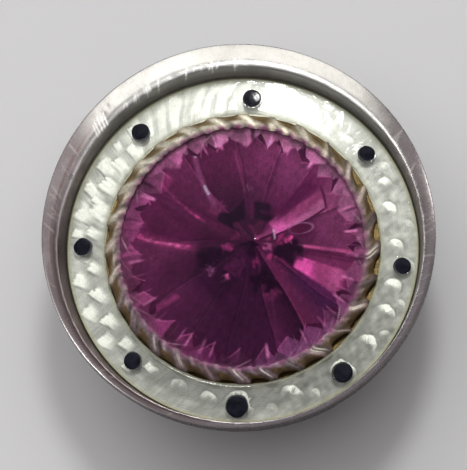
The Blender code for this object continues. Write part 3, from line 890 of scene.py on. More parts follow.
def make_ground():
    around = turns(GROUND_AROUND)
    turn, r = grid(around, np.linspace(GROUND_OUT, GROUND_IN, GROUND_ACROSS))
    deg, x, y = np.degrees(turn), r * np.cos(turn), r * np.sin(turn)
    top = window(deg, 84, 184, 20)
    grain, soft, blotch = cloud(x, y, 121, 0.16), cloud(x, y, 122, 0.75), cloud(x, y, 123, 0.38)
    at = SimpleNamespace(
        turn=turn, r=r, deg=deg, x=x, y=y, top=top, grain=grain, soft=soft, blotch=blotch
    )
    level = np.interp(deg, TONE_AT, TONE) + 7.0 * soft + 5.0 * blotch
    height = np.zeros_like(r)
    for cut in (cut_folds, cut_strokes, cut_crescents):
        level, height = cut(at, level, height)
    # painted light on the outer part at the left, mottling at the lower right, turning lines, brushing
    level = level + 24.0 * smooth(6.42, 6.66, r) * window(deg, 92, 292, 26) * (0.8 + 0.5 * blotch)
    mottle = 19.0 * cloud(x, y, 134, 0.30) + 12.0 * cloud(x, y, 135, 0.14)
    level = level + window(deg, -78, 40, 20) * mottle
    lines = np.cos(TAU * (r + 0.06 * np.sin(16 * turn)) / 0.13)
    level = level + 5.0 * grain + lines * (1 - 0.6 * top)
    across, along = x * 0.62 - y * 0.78, x * 0.78 + y * 0.62
    brushed = 5.0 * cloud(across, along * 0.16, 126, 0.06)
    brushed = brushed + 7.0 * cloud(across + 2.0, along * 0.22, 127, 0.16)
    level = level + brushed * (1 - 0.6 * top)

    fade = smooth(GROUND_IN, GROUND_IN + 0.2, r) * smooth(GROUND_OUT, GROUND_OUT - 0.16, r)
    fine = 0.0015 * np.cos(TAU * (r + 0.05 * np.sin(16 * turn)) / 0.105)
    z = 1.55 + (height + fine) * fade + 0.02 * smooth(7.0, 5.6, r)
    sheet = np.stack([FACE_X + x, FACE_Y + y, z], -1)
    low_out, low_in = (
        circle(around, radius, GROUND_LOW, FACE)[:, None] for radius in (GROUND_OUT, GROUND_IN)
    )
    attrs = {
        # painted light and shade of the engraving, carried as its colour
        "lit_tone": linear(np.clip(level, 60, 262)),
        "edge": np.clip(smooth(6.92, 7.10, r) + 0.6 * smooth(5.80, 5.62, r), 0, 1),
    }
    attrs = {key: np.pad(v, ((0, 0), (1, 1)), mode="edge") for key, v in attrs.items()}
    make("engraved_ground", np.concatenate([low_out, sheet, low_in], 1),
         ring_faces(GROUND_AROUND, GROUND_ACROSS + 2, True), [ground_look()],
         "ground_disc", attrs=attrs)


make_ground()


# ---------------------------------------------------------------- enamel

# black drops: degrees, distance out, radius
DROPS = (
    (86.5, 6.24, 0.38), (37.5, 6.34, 0.35), (-7.0, 6.50, 0.36), (-52.0, 6.52, 0.43),
    (-92.0, 6.48, 0.47), (-134.0, 6.38, 0.37), (179.0, 6.47, 0.38), (130.5, 6.38, 0.38),
)
ENAMEL_IN, ENAMEL_OUT = 5.60, 7.14
ENAMEL_AROUND, ENAMEL_ACROSS = 1200, 60
DROP_AROUND, DROP_ACROSS = 72, 22


def enamel_top(r):
    """Height of the enamel: gently domed, falling outward, rounded at both edges."""
    t = (r - ENAMEL_IN) / (ENAMEL_OUT - ENAMEL_IN)
    z = 2.02 - 0.197 * t - 0.060 * t**2
    inner, outer = np.clip(1 - t / 0.10, 0, 1), np.clip((t - 0.93) / 0.07, 0, 1)
    return z - 0.10 * inner**2 - 0.05 * outer**2


def enamel_look():
    """Clear enamel with a thin cream film, thicker at its edges."""
    mat = Look("white_enamel_look")
    pos = mat.pos()
    edge = mat.attr("edge")
    patchy = mat.noise(pos, scale=1.1, detail=4, rough=0.6, warp=0.5)
    fine = mat.noise(pos, scale=6, detail=3, rough=0.6)
    cream = mat.mix(mat.ramp(patchy, (0.35, 0.68)), (0.60, 0.62, 0.56), (0.50, 0.52, 0.46))
    cream = mat.tint(cream, (edge, 0.75, (0.46, 0.46, 0.28)))
    film = mat.add(mat.ramp(patchy, (0.3, 0.7), to=(0.04, 0.10)), mat.mul(edge, 0.22))
    film = mat.math("ADD", film, mat.ramp(fine, (0.3, 0.8), to=(0, 0.04)), clamp=True)
    clear = mat.node("BsdfTransparent", Color=(0.985, 0.99, 0.965))
    milk = mat.node("BsdfDiffuse", Color=cream, Roughness=0.0)
    specks = mat.ramp(mat.noise(pos, scale=11), (0.62, 0.72))
    normal = mat.bump(mat.weigh((mat.noise(pos, scale=2.2), 1.0), (specks, 0.12)), depth=0.016)
    gloss = mat.node(
        "BsdfAnisotropic", Color=(1, 1, 1), Normal=normal,
        Roughness=mat.ramp(fine, (0.3, 0.8), to=(0.06, 0.15)),
    )
    inside = mat.mix_shader(film, clear, milk)
    return mat.done(mat.glaze(inside, gloss, normal, ior=1.52, limit=0.16))


def make_enamel():
    around = turns(ENAMEL_AROUND)
    turn, r = grid(around, np.linspace(ENAMEL_OUT, ENAMEL_IN, ENAMEL_ACROSS))
    x, y = r * np.cos(turn), r * np.sin(turn)
    z = enamel_top(r) + 0.006 * cloud(x, y, 131, 0.9) + 0.0025 * cloud(x, y, 132, 0.35)
    # a low swelling round each drop and a hollow under it
    for deg, dist, radius in DROPS:
        a = math.radians(deg)
        d = np.hypot(x - dist * math.cos(a), y - dist * math.sin(a))
        z = z + 0.020 * np.exp(-(((d - radius) / 0.10) ** 2))
        z = z - 0.06 * smooth(radius + 0.01, radius - 0.10, d)
    wave = 1.0 + 0.0035 * ripple(around, 133, 12, 44)
    x[:, -1] *= wave
    y[:, -1] *= wave
    points = np.stack([FACE_X + x, FACE_Y + y, z], -1)
    points = np.pad(points, ((0, 0), (1, 1), (0, 0)), mode="edge")
    points[:, 0, 2], points[:, -1, 2] = 1.62, 1.66
    t = (np.pad(r, ((0, 0), (1, 1)), mode="edge") - ENAMEL_IN) / (ENAMEL_OUT - ENAMEL_IN)
    side = np.zeros_like(t)
    side[:, 0] = side[:, -1] = 1.0
    edge = np.clip(smooth(0.86, 1.0, t) + 0.8 * smooth(0.10, 0.0, t) + side, 0, 1)
    make("enamel", points, ring_faces(ENAMEL_AROUND, ENAMEL_ACROSS + 2, False), [enamel_look()],
         "enamel_ring", attrs={"edge": edge, "side": side}, sharp=50.0)


make_enamel()


def black_look(name, rough, shine):
    """Black enamel; rough is a range of roughness."""
    mat = Look(name)
    pos = mat.pos()
    cloudy = mat.noise(pos, scale=4, detail=3, rough=0.6)
    return mat.done(mat.node(
        "BsdfPrincipled",
        Base_Color=mat.mix(
            mat.ramp(cloudy, (0.4, 0.7)), (0.003, 0.003, 0.007), (0.008, 0.009, 0.017)
        ),
        Roughness=mat.ramp(cloudy, (0.3, 0.7), to=rough),
        IOR=1.5,
        Specular_IOR_Level=shine,
        Normal=mat.bump(mat.noise(pos, scale=8), depth=0.006),
    ))


BLACK_SHINY = black_look("black_enamel_shiny", rough=(0.10, 0.20), shine=0.5)
BLACK_DULL = black_look("black_enamel_dull", rough=(0.34, 0.50), shine=0.10)


def make_drop(n, deg, dist, radius):
    """Low dome set in the enamel. The first, at the top, stands higher and is shiny."""
    draw = rng(200 + n)
    a = math.radians(deg)
    mid_x, mid_y = dist * math.cos(a), dist * math.sin(a)
    out = np.sin(np.linspace(0, 0.5 * math.pi, DROP_ACROSS))
    turn, out = grid(turns(DROP_AROUND), out[::-1])
    shape = 1 + 0.030 * ripple(turn, 210 + n, 2, 5)
    if n == 1:
        rise, lean_x, lean_y, mat = 0.030, -0.062, 0.112, BLACK_SHINY
    else:
        rise, mat = 0.014, BLACK_DULL
        lean_x, lean_y = draw.uniform(-0.05, 0.0), draw.uniform(-0.08, -0.04)
    x = mid_x + radius * out * shape * np.cos(turn)
    y = mid_y + radius * out * shape * np.sin(turn)
    z = enamel_top(dist) - 0.005 + rise * (1 - out**2)
    z = z - (lean_x * (x - mid_x) + lean_y * (y - mid_y)) - 0.025 * smooth(0.86, 1.0, out)
    points = np.pad(np.stack([x, y, z], -1), ((0, 0), (1, 0), (0, 0)), mode="edge")
    points[:, 0, 2] = 1.83
    points[..., :2] += FACE
    across = DROP_ACROSS + 1
    faces = ring_faces(DROP_AROUND, across, False).tolist()
    faces.append(list(range(0, DROP_AROUND * across, across))[::-1])
    make("black_drop_%d" % n, points, faces, [mat],
         "enamel_dot_%d" % n, sharp=60.0)


for n, drop in enumerate(DROPS, start=1):
    make_drop(n, *drop)


# ---------------------------------------------------------------- cup and foil


def pavilion(r):
    """Height of the stone's rear cone."""
    return CULET_Z + (GIRDLE_LOW - CULET_Z) * r / STONE_R


CUP_OUTLINE = (
    (5.57, 1.62), (5.575, 1.66), (5.565, 1.70), (5.12, 1.70), (5.09, 1.83), (5.07, 1.845),
    (4.94, 1.85), (4.88, pavilion(4.88) - 0.11), (1.30, pavilion(1.30) - 0.11), (1.30, 0.60),
    (0.47, 0.60), (0.47, 0.40), (1.50, 0.40), (1.50, 0.86), (4.95, 1.50), (5.26, 1.50),
    (5.26, 1.62),
)
FOIL_OUTLINE = [
    (r, pavilion(r) - gap) for r, gap in ((0.95, 0.08), (4.82, 0.08), (4.82, 0.035), (0.95, 0.035))
]


def cup_warp(turn, r, z):
    top = smooth(1.66, 1.70, z) * smooth(5.10, 5.2, r)
    r = r + 0.012 * ripple(turn, 301, 20, 60) * smooth(5.3, 5.5, r)
    return r, z - 0.012 * top * (0.5 + 0.5 * ripple(turn, 302, 10, 40))


def foil_warp(turn, r, z):
    return r, z + 0.004 * cloud(r * np.cos(turn), r * np.sin(turn), 311, 0.5)


lathe("cup", CUP_OUTLINE, 0.06, 720, "setting_cup", "gilt_brass", centre=FACE, warp=cup_warp)
lathe("foil", FOIL_OUTLINE, 0.12, 240, "foil_back", "foil",
      centre=FACE, warp=foil_warp, sharp=50.0)


# ---------------------------------------------------------------- collet

CLAWS, CLAW_STEPS = 28, 40
COLLET_GAIN = 0.88
# sections of the ring as (r, z), in the hollows and at the claws
HOLLOW = np.array([
    (5.16, 1.74), (5.30, 1.74), (5.325, 1.78), (5.34, 1.86), (5.342, 1.93), (5.335, 1.99),
    (5.318, 2.045), (5.285, 2.09), (5.235, 2.128), (5.175, 2.155), (5.11, 2.176), (5.045, 2.188),
    (4.98, 2.178), (4.95, 2.152), (4.975, 2.136), (5.02, 2.13), (5.08, 2.13), (5.14, 2.12),
    (5.16, 1.95),
])
CLAW = np.array([
    (5.16, 1.74), (5.55, 1.73), (5.585, 1.78), (5.60, 1.86), (5.59, 1.93), (5.56, 1.985),
    (5.50, 2.030), (5.42, 2.070), (5.34, 2.108), (5.255, 2.140), (5.17, 2.165), (5.085, 2.186),
    (4.99, 2.183), (4.945, 2.155), (4.958, 2.136), (5.02, 2.13), (5.08, 2.13), (5.14, 2.12),
    (5.16, 1.95),
])
# painted light and shade going round, lightest at the top where the lights fall, as red, green and
# blue rows
COLLET_AT = (0, 15, 45, 75, 105, 135, 165, 195, 225, 255, 285, 315, 345, 360)
COLLET_RGB = (
    (122, 128, 142, 176, 174, 158, 142, 134, 116, 112, 112, 142, 116, 122),
    (106, 114, 132, 168, 168, 155, 132, 118, 102, 92, 95, 125, 102, 106),
    (102, 108, 122, 148, 150, 140, 121, 116, 107, 97, 106, 122, 98, 102),
)


def collet_look():
    """Rubbed-over silver: mostly dull, with a little metal sheen, its light and shade painted into its
    colour.
    """
    mat = Look("collet_silver_look")
    pos = mat.pos()
    mid = mat.noise(pos, scale=3.6, detail=5, rough=0.62, warp=0.3)
    fine = mat.noise(pos, scale=13, detail=4, rough=0.6)
    tone = mat.attr("tone", "Vector")
    tone = mat.mix(1.0, tone, mat.ramp(mid, (0.3, 0.7), to=(0.60, 1.28)), "MULTIPLY")
    tone = mat.mix(1.0, tone, mat.ramp(fine, (0.3, 0.7), to=(0.76, 1.20)), "MULTIPLY")
    normal = mat.bump(mat.weigh((mid, 0.5), (fine, 0.25)), depth=0.014)
    body = mat.node(
        "BsdfPrincipled", Base_Color=tone, Roughness=0.55, Specular_IOR_Level=0.15, Normal=normal
    )
    shine = mat.metal(tone, mat.ramp(fine, (0.3, 0.75), to=(0.36, 0.52)), normal)
    return mat.done(mat.mix_shader(0.14, body, shine))


def make_collet():
    turn = turns(CLAWS * CLAW_STEPS)[:, None]
    deg = np.degrees(turn) % 360
    pitch = TAU / CLAWS
    cell = np.floor(turn / pitch).astype(int) % CLAWS
    draw = rng(401)
    draw.uniform(size=CLAWS)            # skips a row of draws, which the rest depend on
    shift = draw.uniform(-0.08, 0.08, CLAWS)
    half_gap = draw.uniform(0.33, 0.43, CLAWS)
    right = window(np.degrees(pitch * (np.arange(CLAWS) + 0.5)), -85, 84, 20)
    depth = draw.uniform(0.55, 1.0, CLAWS) * (0.62 + 0.38 * right)
    tall = draw.uniform(-0.014, 0.012, CLAWS)
    bright = 0.15 + 0.85 * (draw.uniform(0, 1, CLAWS) > 0.5)
    phase = turn / pitch - cell - 0.5 - shift[cell]
    lens = np.clip(1 - (np.abs(phase) / half_gap[cell]) ** 2.2, 0, 1) ** 0.75
    claw = (1 - lens * depth[cell])[..., None]
    section = HOLLOW[None] * (1 - claw) + CLAW[None] * claw
    r, z = section[..., 0].copy(), section[..., 1].copy()
    crown = smooth(1.97, 2.12, z)
    # a narrow slanting ridge between one hollow and the next, raised a little and, on some, painted
    # with a bright glint
    off = np.where(phase < 0, phase + 1.0, phase) - 0.5
    ridge = np.exp(-((off / 0.045) ** 2))
    strength = bright[np.where(phase < 0, cell - 1, cell) % CLAWS]
    z += crown * (tall[cell] * lens + 0.010 * ripple(turn, 402, 14, 50) + 0.010 * ridge * strength)
    inner = smooth(5.16, 4.99, r) * smooth(2.12, 2.15, z)
    r += inner * (0.034 * ripple(turn, 403, 18, 56) + 0.022 * ripple(turn, 405, 60, 120))
    r += 0.012 * ripple(turn, 404, 8, 30) * (r > 5.3) * (r < 5.5)
    slant = turn - 0.09 * smooth(5.60, 5.0, r) + 0.004 * ripple(turn, 406, 20, 60)
    points = np.stack([FACE_X + r * np.cos(slant), FACE_Y + r * np.sin(slant), z], -1)

    mottle = 0.28 * ripple(turn, 407, 12, 70) + 0.20 * ripple(turn, 408, 50, 130)
    rings = np.cos(TAU * (r - 5.0) / 0.23 + 3.0 * ripple(turn, 409, 5, 24))
    rgb = colour_round(deg, COLLET_AT, COLLET_RGB) * (1 + mottle + 0.04 * rings)[..., None]
    # painted light: a paler cream over the top and left, where the lights fall
    lit_cream = window(deg, 55, 200, 25) * smooth(5.12, 5.24, r)
    # painted shade in the hollows, wider round the right, and a little low on the outer side
    dark_width = 0.16 + 0.07 * window(deg, -95, 75, 20)
    dark = smooth(1.0, 0.25, (5.342 + 0.05 * ripple(turn, 411, 16, 60) - r) / dark_width)
    dark = 0.88 * lens * dark + 0.20 * smooth(5.34, 5.46, r) * (1 - crown)
    # painted reflection of the pink stone along the inner edge
    pink = 0.72 * smooth(5.18, 5.0, r) * (0.7 + 0.5 * ripple(turn, 410, 20, 60))
    # painted glints on the raised ridges, weaker round the left
    glint_gain = (0.75 - 0.30 * window(deg, 112, 250, 20)) * strength
    lit = 1.1 * (ridge * glint_gain) * smooth(5.03, 5.12, r) * smooth(5.56, 5.46, r) * crown
    rgb = paint(
        rgb,
        (0.50 * lit_cream, (184, 180, 162)),
        (np.clip(dark, 0, 0.92), (84, 66, 40)),
        (np.clip(pink, 0, 0.9), (122, 62, 100)),
        (np.clip(lit, 0, 1), (252, 248, 226)),
    )
    # painted shade under the lip, next to the stone
    under = smooth(2.145, 2.13, z) * (r < 5.2)
    rgb = rgb * (1 - 0.15 * under[..., None])
    attrs = {
        "ring": ring_coords(slant, 5.2, arc_length(HOLLOW)),
        "tone": linear(np.clip(rgb, 8, 255)) * COLLET_GAIN,
    }
    make("collet", points, ring_faces(len(turn), len(HOLLOW), True), [collet_look()],
         "claw_ring", attrs=attrs, sharp=60.0)


make_collet()


# ---------------------------------------------------------------- colours seen in the stone

# Colours are 0-255 screen values: the light, shade, glints and reflections seen in the stone from the
# front, painted onto its back. Places are an angle about the point of the star, in degrees, and a
# distance out from it, 0 to 1 at the girdle.

# facets, with their painted light and shade: start angle, then colours of start side outer, start
# inner, end outer, end inner
FACETS = (
    (22, (146, 76, 118), (170, 78, 132), (112, 46, 88), (104, 38, 84)),
    (50, (116, 55, 94), (74, 24, 60), (114, 53, 92), (70, 24, 58)),
    (74, (110, 50, 88), (66, 24, 56), (96, 40, 76), (60, 22, 52)),
    (99, (92, 36, 72), (58, 20, 50), (84, 30, 66), (56, 19, 48)),
    (129, (104, 44, 82), (86, 34, 70), (92, 34, 72), (78, 27, 62)),
    (152, (84, 28, 66), (74, 23, 58), (92, 32, 72), (70, 22, 56)),
    (179, (98, 42, 78), (62, 22, 54), (80, 32, 66), (54, 19, 48)),
    (213, (82, 34, 68), (62, 24, 56), (74, 30, 64), (60, 23, 55)),
    (236, (66, 26, 58), (58, 22, 54), (60, 23, 55), (54, 21, 51)),
    (258, (58, 23, 53), (54, 21, 51), (62, 24, 57), (52, 20, 49)),
    (281, (78, 31, 66), (70, 28, 60), (50, 18, 45), (44, 15, 42)),
    (300, (104, 42, 80), (108, 44, 86), (70, 30, 68), (68, 26, 60)),
    (322, (112, 44, 88), (96, 34, 76), (122, 52, 94), (92, 34, 74)),
    (349, (120, 56, 96), (92, 36, 74), (122, 60, 98), (80, 28, 64)),
)
# painted marks, streaks of light and shade and white glints: strength, kind, place as `spot` or `line`
# takes it, colour
BESIDE_PANEL = (
    (0.80, "spot", (39, 50, 0.30, 0.80, 5, 0.2), (76, 20, 62)),
    (0.55, "spot", (4, 20, 0.30, 0.56, 5, 0.1), (88, 28, 68)),
)
STREAKS = (
    (0.50, "spot", (316, 326, 0.46, 0.92, 5, 0.1), (64, 28, 70)),
    (0.60, "line", (350.6, 0.40, 350.2, 0.90, 1.6), (72, 22, 56)),
    (0.85, "line", (353.6, 0.34, 352.6, 0.93, 1.2), (196, 92, 146)),
    (0.60, "line", (353.8, 0.33, 353.2, 0.60, 0.8), (236, 110, 172)),
    (0.45, "line", (346.5, 0.45, 347.5, 0.93, 1.2), (70, 20, 54)),
    (0.72, "torn", (157.5, 0.38, 145.5, 0.94, 0.9), (170, 80, 128)),
    (0.40, "line", (160.5, 0.30, 150.5, 0.94, 3.0), (104, 44, 86)),
    (0.70, "torn", (157.3, 0.42, 153.0, 0.60, 0.9), (226, 80, 156)),
    (0.50, "spot", (140, 150, 0.80, 0.93, 5, 0.06), (190, 74, 140)),
    (0.60, "line", (136.5, 0.40, 121.5, 0.94, 1.8), (150, 88, 130)),
    (0.92, "line", (123.4, 0.84, 121.2, 0.93, 1.3), (222, 222, 236)),
    (0.88, "line", (133.0, 0.52, 130.6, 0.61, 1.0), (206, 200, 222)),
    (0.60, "line", (127.0, 0.90, 124.0, 0.99, 1.3), (190, 170, 180)),
    (0.50, "line", (187.0, 0.40, 174.0, 0.98, 3.2), (130, 52, 98)),
    (0.85, "torn", (185.5, 0.46, 175.0, 0.96, 1.7), (200, 84, 144)),
    (0.80, "torn", (183.8, 0.52, 178.0, 0.84, 0.9), (244, 128, 182)),
    (0.70, "line", (216.5, 0.68, 214.5, 0.96, 1.9), (146, 60, 110)),
    (0.50, "line", (99.5, 0.42, 101.5, 0.82, 1.0), (128, 62, 104)),
    (0.45, "line", (74.0, 0.36, 72.5, 0.80, 1.3), (74, 24, 60)),
    (0.65, "line", (299.0, 0.24, 298.6, 0.94, 1.0), (36, 11, 35)),
    (0.45, "line", (289.0, 0.40, 281.5, 0.90, 0.9), (92, 40, 78)),
)
# painted near-black shade in wedges round the middle: two angles, two distances
WEDGES = (
    (108, 150, 0.19, 0.33), (52, 87, 0.175, 0.32), (190, 211, 0.20, 0.42), (267, 299, 0.25, 0.41),
    (326, 362, 0.20, 0.42), (190, 330, 0.015, 0.085), (100, 116, 0.24, 0.36),
)
# patches where the star's reflections cross: two angles, two distances, colour
PATCHES = (
    (14, 74, 0.028, 0.066, (228, 118, 180)), (328, 352, 0.115, 0.175, (168, 92, 134)),
    (306, 324, 0.17, 0.235, (158, 60, 110)), (230, 238, 0.31, 0.365, (224, 108, 168)),
    (210, 219, 0.35, 0.415, (126, 76, 112)), (186, 204, 0.15, 0.235, (152, 56, 112)),
    (55, 108, 0.06, 0.14, (100, 34, 76)), (268, 286, 0.145, 0.205, (126, 42, 90)),
    (356, 366, 0.30, 0.355, (226, 84, 154)), (352, 372, 0.215, 0.275, (150, 50, 104)),
    (60, 78, 0.12, 0.20, (92, 30, 70)), (150, 176, 0.10, 0.16, (118, 44, 90)),
    (318, 330, 0.09, 0.13, (190, 96, 150)), (0, 12, 0.10, 0.17, (146, 60, 110)),
    (222, 250, 0.16, 0.30, (84, 32, 72)), (300, 316, 0.25, 0.40, (110, 42, 86)),
    (152, 166, 0.20, 0.34, (88, 32, 68)), (128, 146, 0.36, 0.44, (110, 48, 86)),
    (88, 98, 0.20, 0.30, (72, 26, 60)), (282, 296, 0.43, 0.50, (112, 44, 84)),
    (92, 97, 0.43, 0.49, (118, 76, 104)),
)
# painted light and shade of the girdle band going round, lightest at the top, as red, green and blue
# rows
BAND_AT = (0, 45, 75, 105, 135, 165, 195, 225, 255, 285, 315, 345, 360)
BAND_RGB = (
    (156, 184, 206, 226, 166, 142, 132, 118, 88, 104, 110, 124, 150),
    (94, 118, 130, 148, 96, 70, 66, 54, 36, 60, 60, 68, 90),
    (130, 158, 172, 192, 138, 116, 104, 94, 74, 96, 96, 102, 126),
)
# painted light: how much the stone is lightened going round, most towards the upper right
LIFT_AT = (0, 25, 45, 75, 105, 130, 160, 195, 225, 240, 300, 330, 360)
LIFT = (1.02, 1.06, 1.16, 1.27, 1.21, 1.13, 1.09, 1.05, 1.03, 0.93, 0.93, 1.03, 1.02)


def spot(ang, out, start, end, inner, outer, soft_deg=3.0, soft=0.04):
    """Mask between two angles and two distances."""
    edge = 1 - smooth(outer - soft / 2, outer + soft / 2, out)
    return (window(ang, start, end, soft_deg)
            * smooth(inner - soft / 2, inner + soft / 2, out) * edge)


def line(ang, out, from_deg, from_out, to_deg, to_out, width):
    """Streak between two places, its width in degrees at the girdle."""
    t = np.clip((out - from_out) / (to_out - from_out), -0.2, 1.2)
    off = np.abs(away(ang, from_deg + (to_deg - from_deg) * t)) * np.clip(out, 0.15, 1)
    ends = smooth(-0.04, 0.08, t) * (1 - smooth(0.92, 1.04, t))
    return np.clip(1 - (off / width) ** 2, 0, 1) * ends


def facet_tone(ang, out):
    """Shading of each facet, with a light and a dark line where two meet."""
    bounds = np.array([facet[0] for facet in FACETS] + [FACETS[0][0] + 360], float)
    a = np.where(ang < bounds[0], ang + 360.0, ang)
    a = a + 1.2 * np.sin(out * 6.0 + a * 0.11)      # the ridges aren't quite straight
    a = np.clip(a, bounds[0], bounds[-1] - 1e-3)
    cell = np.searchsorted(bounds, a, side="right") - 1
    width = bounds[cell + 1] - bounds[cell]
    t = (a - bounds[cell]) / width
    start, start_in, end, end_in = (
        np.array([facet[i] for facet in FACETS], float)[cell] for i in (1, 2, 3, 4)
    )
    inner = smooth(0.78, 0.26, out)
    colour = paint(
        paint(start, (inner, start_in)), (smooth(0.05, 0.95, t), paint(end, (inner, end_in)))
    )
    off = np.minimum(t, 1 - t) * width * np.clip(out, 0.1, 1)
    ridge = np.clip(1 - off / 1.3, 0, 1) * smooth(0.2, 0.35, out) * np.where(t < 0.5, 1.0, -1.0)
    return colour * (1 + 0.20 * ridge)[..., None]


def paint_streaks(colour, ang, out, near, x, y):
    """The two lit facets at the right, and the streaks."""
    tear = 0.35 + 0.65 * smooth(-0.35, 0.45, cloud(x, y, 530, 0.20)) * smooth(
        -0.9, 0.1, cloud(x, y, 531, 0.07)
    )
    kinds = {"spot": spot, "line": line, "torn": lambda *place: tear * line(*place)}

    def marks(table):
        return [(s * kinds[kind](ang, out, *place), rgb) for s, kind, place, rgb in table]

    # a slanting panel, brightest at its inner end
    low = np.interp(out, (0.20, 0.74), (16.5, 25.5))
    high = np.interp(out, (0.22, 0.74), (50.0, 37.0))
    end = 0.715 + 0.004 * (near - 25)
    panel = smooth(low - 1.0, low + 0.8, near) * smooth(high + 3.0, high - 5.0, near)
    panel = panel * smooth(0.20, 0.225, out) * smooth(end + 0.012, end - 0.006, out)
    lit = smooth(0.60, 0.26, out + 0.008 * (near - low))
    pale_edge = smooth(7.0, 1.0, np.abs(near - low - 2.0)) * smooth(0.25, 0.45, out)
    dark_side = smooth(1.3, 0.3, np.abs(near - low + 1.0)) * smooth(0.22, 0.26, out)
    dark_end = smooth(0.018, 0.006, np.abs(out - end - 0.018)) * smooth(22, 26, near)
    # and the one below it
    slab = spot(ang, out, 326, 341, 0.41, 0.86, 2.4, 0.05)
    slab_lit = smooth(0.66, 0.50, out + 0.004 * (ang - 333))
    return paint(
        colour,
        (0.94 * panel * (1 - lit), (146, 68, 112)),
        (0.96 * panel * lit, (255, 124, 206)),
        (0.75 * panel * pale_edge, (196, 122, 166)),
        (0.85 * dark_side * smooth(0.74, 0.68, out), (70, 18, 56)),
        (0.75 * dark_end * smooth(41, 37, near), (74, 20, 58)),
        *marks(BESIDE_PANEL),
        (0.95 * slab * (1 - slab_lit), (166, 74, 126)),
        (0.97 * slab * slab_lit, (255, 104, 192)),
        (0.55 * slab * smooth(0.10, 0.0, np.abs(out - 0.80)), (196, 106, 156)),
        *marks(STREAKS),
    )


def paint_middle(colour, ang, out, near, x, y):
    for start, end, inner, outer in WEDGES:
        soft = 0.05 * cloud(x, y, start + 700, 0.30)
        mask = spot(ang + 90 * soft, out + soft, start, end, inner, outer, 7, 0.05)
        colour = paint(colour, (0.96 * mask, (27, 8, 31)))
    shade = spot(ang, out, 206, 244, 0.18, 0.52, 8, 0.12)
    colour = paint(colour, (0.42 * shade, (30, 10, 34)))
    for start, end, inner, outer, rgb in PATCHES:
        seed = int(start + 10 * outer)
        soft = 0.026 * cloud(x, y, seed + 720, 0.13)
        uneven = 0.55 + 0.40 * smooth(-0.5, 0.4, cloud(x, y, seed + 760, 0.10))
        mask = spot(ang + 120 * soft, out + soft, start, end, inner, outer, 6, 0.035)
        colour = paint(colour, (uneven * mask, rgb))
    # an oval reflection, and a thin bright line at the inner end of the lit facet
    a = np.radians(ang)
    oval_x, oval_y = out * np.cos(a) - 0.435, out * np.sin(a) - 0.112
    oval_x, oval_y = oval_x * 0.985 + oval_y * 0.17, -oval_x * 0.17 + oval_y * 0.985
    oval = np.hypot(oval_x / 0.108, oval_y / 0.048)
    outline = np.clip(1 - np.abs(oval - 1.0) / 0.22, 0, 1)
    outline = outline * (0.35 + 0.65 * smooth(-0.4, 0.5, oval_x / 0.108))
    bright = smooth(0.014, 0.004, np.abs(out - 0.203 - 0.0006 * (near - 18)))
    return paint(
        colour,
        (0.75 * smooth(1.05, 0.75, oval), (84, 22, 60)),
        (0.80 * outline, (176, 128, 166)),
        (0.85 * bright * smooth(1, 6, near) * smooth(34, 28, near), (226, 206, 226)),
    )


def paint_girdle(colour, ang, out, x, y):
    """Rows of small triangles, each half its own shade, with glints along the teeth."""
    pitch = 360.0 / 28.0
    uneven = ang + 1.6 * np.sin(np.radians(ang) * 9.0)
    uneven = uneven + 0.6 * cloud(x, y, 504, 0.3) + 0.15 * cloud(x, y, 534, 0.11)
    cell = np.floor(uneven / pitch).astype(int) % 28
    part = (uneven / pitch) % 1.0
    draw = rng(505)
    lean = draw.uniform(0.30, 0.62, 28)[cell]
    deep = draw.uniform(0.050, 0.115, 28)[cell]
    base = draw.uniform(0.835, 0.870, 28)[cell]
    first = draw.uniform(0.85, 1.30, 28)[cell][..., None]
    second = draw.uniform(0.62, 1.15, 28)[cell][..., None]
    size = draw.uniform(0.55, 1.25, 28) * (draw.uniform(0, 1, 28) > 0.30)
    tint = draw.uniform(0.65, 1.35, 28)

    tooth = np.where(part < lean, part / lean, (1 - part) / (1 - lean))
    edge = base + deep * (1 - tooth) - 0.02
    half = smooth(-0.04, 0.04, part - lean)
    band = colour_round(ang, BAND_AT, BAND_RGB)
    teeth = band * (first * (1 - half[..., None]) + second * half[..., None])
    soft = 0.010 + 0.014 * smooth(0.0, 0.6, cloud(x, y, 532, 0.5))
    outer = smooth(-1.0, 1.0, (out - edge + 0.007 * cloud(x, y, 533, 0.12)) / soft)
    sliver = 0.062 + 0.034 * window(ang, -40, 70, 20)
    sliver = sliver * np.clip((part - 0.28) / 0.52, 0, 1) * smooth(0.93, 0.80, part) * size[cell]
    in_sliver = smooth(0.008, -0.004, np.abs(out - edge - sliver * 0.5) - sliver * 0.5)
    # second row, pointing out
    place = (uneven + pitch * 0.46) / pitch
    tooth = 1 - np.abs(place % 1.0 * 2 - 1)
    row = smooth(-0.006, 0.012, out - (0.99 - 0.075 * tooth)) * smooth(0.3, 0.6, tooth)
    row_tint = tint[np.floor(place).astype(int) % 28][..., None]
    # pink glints along the teeth, pale and dark ones near the outer edge
    a = np.radians(ang)
    glint = np.clip(ripple(a, 501, 24, 90, 18) - 0.24, 0, 1)
    glint = glint * spot(ang, out, -1, 361, 0.83, 0.94, 1, 0.05)
    pale = np.clip(ripple(a + 2.0 * out, 506, 30, 110, 20) - 0.32, 0, 1) * smooth(0.91, 0.96, out)
    dark = np.clip(-ripple(a, 507, 20, 80, 18) - 0.30, 0, 1) * smooth(0.84, 0.93, out)
    return paint(
        colour,
        (outer, teeth),
        (0.90 * in_sliver * smooth(0.004, 0.016, sliver), (62, 18, 50)),
        (0.50 * smooth(0.012, 0.002, np.abs(out - edge)) * (1 - half), (214, 112, 172)),
        (0.75 * row, np.clip(band * row_tint + (2, 10, 4), 0, 255)),
        (np.clip(1.7 * glint, 0, 0.9), (240, 150, 202)),
        (np.clip(1.9 * pale, 0, 0.9), (222, 202, 208)),
        (np.clip(1.3 * dark, 0, 0.8), (48, 16, 40)),
        (0.55 * smooth(0.965, 1.0, out), (150, 104, 126)),
    )


